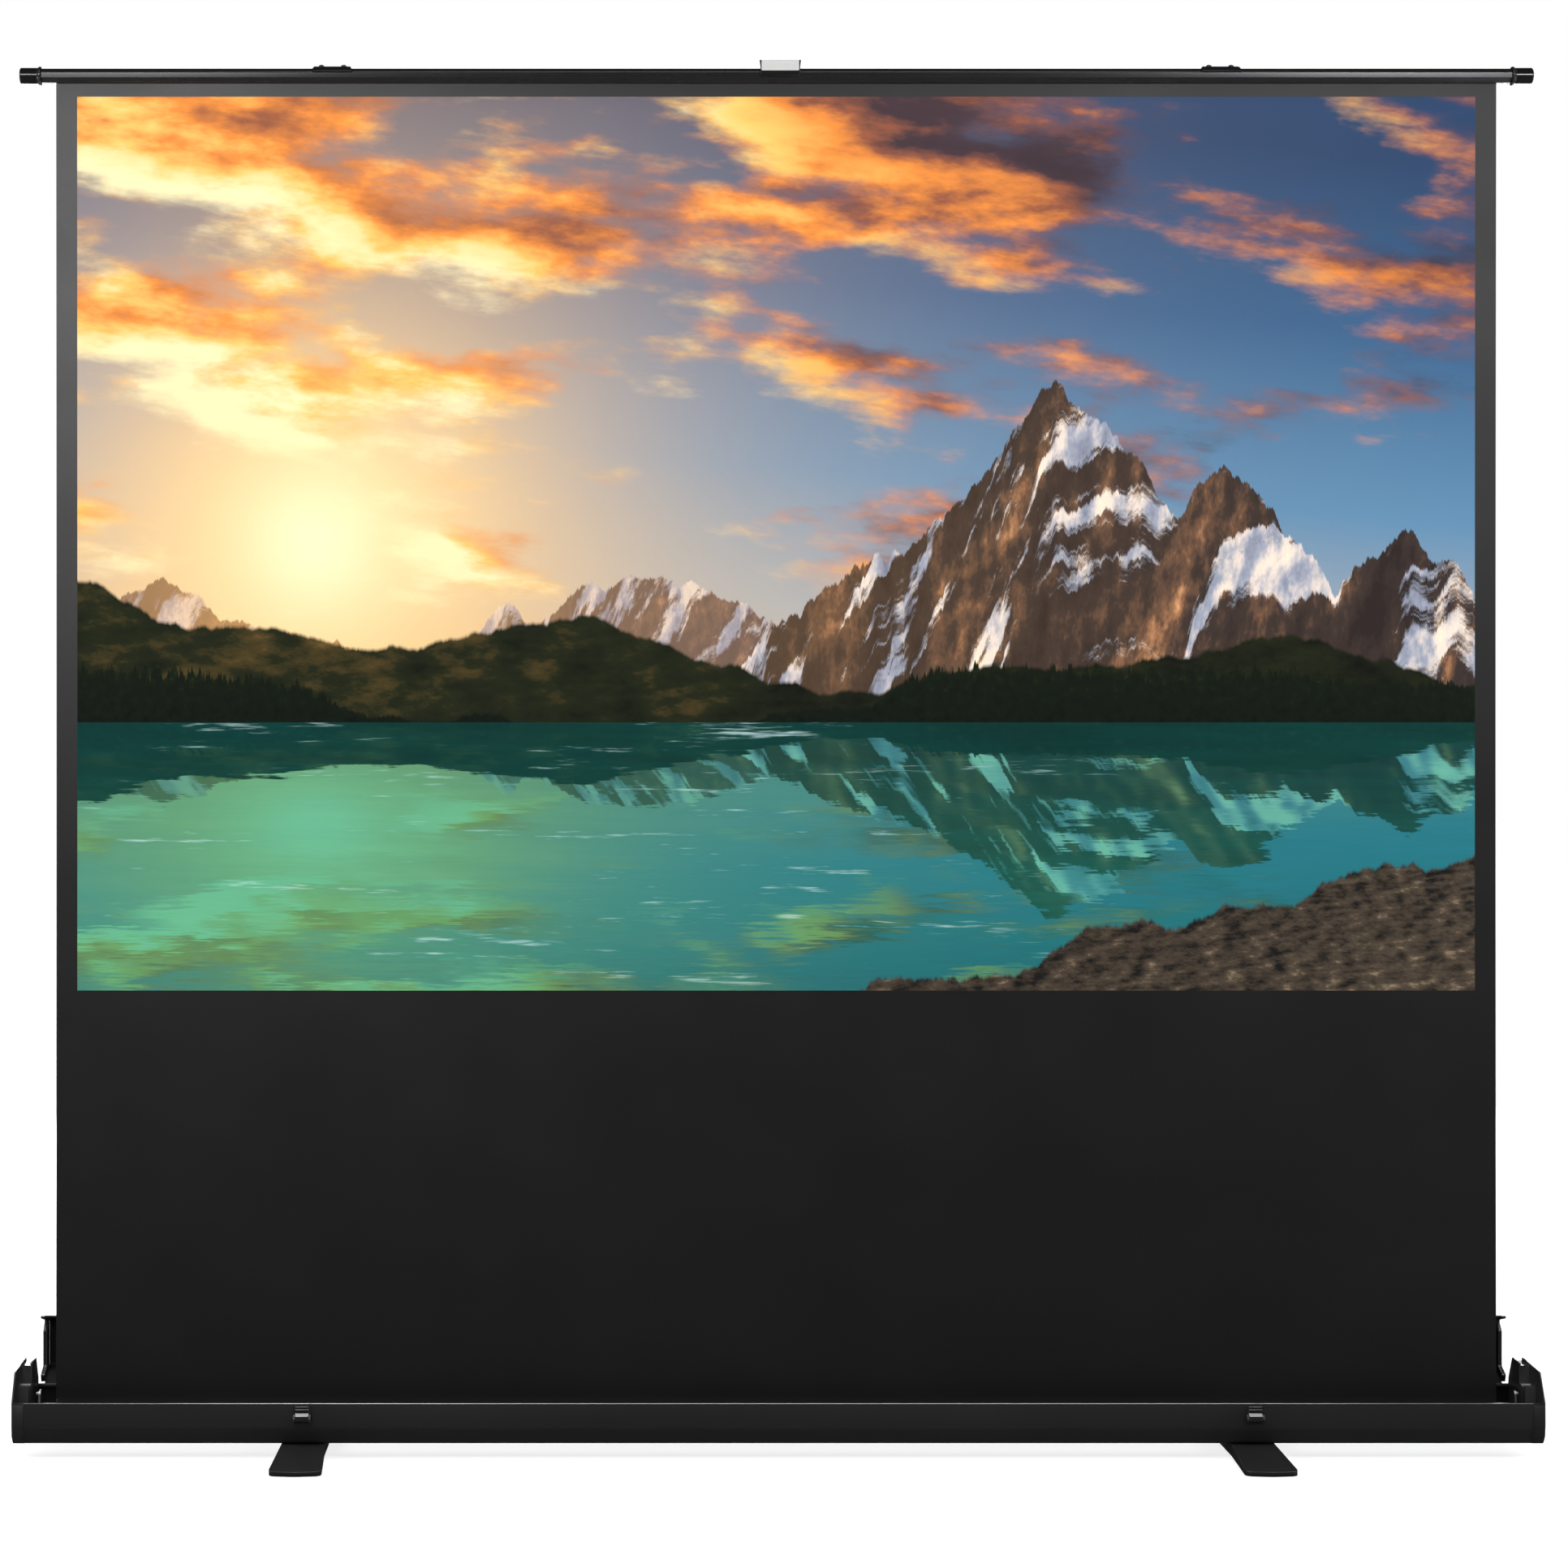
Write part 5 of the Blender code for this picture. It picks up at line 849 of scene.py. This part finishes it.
stageLook = dict(floorHalf=60, floorColour=(0.95, 0.95, 0.95), floorShade=(0.80, 0.80, 0.80),
                 worldShown=(1, 1, 1), worldLight=0.05)
lights = {
    "floorSun": dict(kind="SUN", angle=50, strength=0.7, aim=(0, 0.10, -1), only="floor"),
    "floorFill": dict(kind="SUN", angle=5, strength=2.7, aim=(0, 0, -1), only="floor", shadows=False),
    "overhead": dict(size=(3.4, 0.8), power=45, at=(0, -0.8, 3.8), target=(0, -0.1, 0.1), only="front"),
    "overBase": dict(size=(3.0, 0.5), power=55, at=(0, -1.0, 2.6), target=(0, 0, 0.1), only="base"),
    "overLeft": dict(size=(0.8, 0.4), power=30, at=(-1.45, -0.5, 2.2), target=(-1.0, 0, 0.1), only="base"),
    "overRight": dict(size=(0.8, 0.4), power=16, at=(1.65, -0.5, 2.2), target=(1.0, 0, 0.1), only="base"),
    "overBack": dict(size=(3.4, 0.25), power=70, at=(0, 0.22, 3.2), target=(0, 0.09, 0.1), only="base"),
    "softLeft": dict(size=(2.6, 0.9), power=34, at=(-2.1, -4.6, 3.0), target=(0, 0, 1.3), only="front"),
    "softRight": dict(size=(2.2, 0.8), power=15, at=(2.4, -4.6, 3.0), target=(0, 0, 1.3), only="front"),
    "midLeft": dict(size=(1.2, 0.5), power=42, at=(-1.6, -4.8, 2.45), target=(0, 0, 1.6), only="front"),
    "midRight": dict(size=(1.2, 0.5), power=17, at=(2.4, -4.8, 2.45), target=(0, 0, 1.6), only="front"),
    "highRight": dict(size=(0.9, 0.4), power=12, at=(1.15, -4.7, 3.15), target=(0.4, 0, 2.0), only="front"),
    "barLeft": dict(size=(1.7, 0.4), power=40, at=(-3.7, -4.6, 3.2), target=(-0.9, 0, 2.1), only="bar"),
    "barRight": dict(size=(1.7, 0.4), power=60, at=(3.95, -4.6, 3.2), target=(0.9, 0, 2.1), only="bar"),
    "barTop": dict(size=(3.0, 0.3), power=6, at=(0, -1.2, 3.4), target=(0, 0, 2.1), only="bar"),
    "capLeft": dict(size=(0.6, 0.7), power=60, at=(-1.94, -4.6, 3.2), target=(-1.1, 0, 2.1), only="caps"),
    "capRight": dict(size=(0.6, 0.7), power=14, at=(2.62, -4.6, 3.2), target=(1.1, 0, 2.1), only="caps"),
    "rimLeft": dict(size=(1.6, 0.5), power=60, at=(-2.3, 4.2, 1.15), target=(-0.9, 0, 0.4)),
    "rimRight": dict(size=(1.6, 0.5), power=60, at=(3.2, 4.2, 1.15), target=(0.9, 0, 0.4)),
    "stripLeft": dict(size=(0.5, 1.8), power=15, at=(-3.0, -0.4, 0.9), target=(-1.1, 0, 0.5)),
    "stripRight": dict(size=(0.5, 1.8), power=15, at=(3.0, -0.4, 0.9), target=(1.1, 0, 0.5)),
}
baseReach = 0.30  # things no higher than this get the lights that are only for the base
cameraLook = dict(at=(-0.28, -4.60, 1.04), lens=69, sensor=36, frameSide=1932,
                  lookAtPixel=(731, 950), seesTo=200)


def layFloor(look):
    clearPick()
    bpy.ops.mesh.primitive_plane_add(size=2 * look["floorHalf"], location=(0, 0, 0))
    floor = bpy.context.object
    floor.name = "studio_floor"
    finish = Finish("studioFloor", Specular_IOR_Level=0.1)
    cloud = finish.noise(finish.place(), 0.4, 3)
    colour = finish.mix(0.1 * cloud, look["floorColour"], look["floorShade"])
    finish.paint(Base_Color=colour, Roughness=0.8 + 0.1 * cloud)
    floor.data.materials.append(finish.material)
    floor.visible_glossy = False  # keeps the white floor out of the black, glossy faces
    return floor


def lightWorld(look):
    world = bpy.data.worlds.new("studio")
    bpy.context.scene.world = world
    world.use_nodes = True
    tree = world.node_tree
    back = tree.nodes["Background"]
    path = tree.nodes.new("ShaderNodeLightPath")
    seen = Wire(tree, path.outputs["Is Camera Ray"])
    back.inputs["Color"].default_value = (*look["worldShown"], 1)
    plug(tree, back.inputs["Strength"], seen * (1 - look["worldLight"]) + look["worldLight"])


def hangLight(name, look, receivers):
    data = bpy.data.lights.new(name, look.get("kind", "AREA"))
    lamp = bpy.data.objects.new(name, data)
    bpy.context.scene.collection.objects.link(lamp)
    if data.type == "SUN":
        data.angle = math.radians(look["angle"])
        data.energy = look["strength"]
        direction = Vector(look["aim"])
    else:
        data.shape = "RECTANGLE"
        data.size, data.size_y = look["size"]
        data.energy = look["power"]
        lamp.location = look["at"]
        direction = Vector(look["target"]) - Vector(look["at"])
    lamp.rotation_euler = direction.to_track_quat("-Z", "Y").to_euler()
    lamp.visible_camera = False
    data.use_shadow = look.get("shadows", True)
    if look.get("only"):
        lit = bpy.data.collections.new(name + "Lit")
        for thing in receivers[look["only"]]:
            lit.objects.link(thing)
        lamp.light_linking.receiver_collection = lit


def setCamera(look):
    data = bpy.data.cameras.new("camera")
    camera = bpy.data.objects.new("camera", data)
    bpy.context.scene.collection.objects.link(camera)
    camera.location = look["at"]
    camera.rotation_euler = (math.radians(90), 0, 0)
    data.lens = look["lens"]
    data.sensor_width = look["sensor"]
    half = look["frameSide"] / 2
    data.shift_x = (half - look["lookAtPixel"][0]) / look["frameSide"]
    data.shift_y = (look["lookAtPixel"][1] - half) / look["frameSide"]
    data.clip_end = look["seesTo"]
    bpy.context.scene.camera = camera


studioFloor = layFloor(stageLook)
lightWorld(stageLook)
things = [thing for thing in bpy.data.objects if thing.type == "MESH" and thing is not studioFloor]
barThings = [thing for thing in things if thing.name.startswith(("bar_", "pull_grip", "saddle_screw"))]
receivers = {
    "floor": [studioFloor],
    "bar": barThings,
    "caps": [thing for thing in barThings if "_cap_" in thing.name],
    "front": [thing for thing in things if thing not in barThings],
    "base": [thing for thing in things if max(corner[2] for corner in thing.bound_box) < baseReach],
}
for lightName, lightLook in lights.items():
    hangLight(lightName, lightLook, receivers)
setCamera(cameraLook)
bpy.context.scene.view_settings.view_transform = "Standard"
print("stage set")
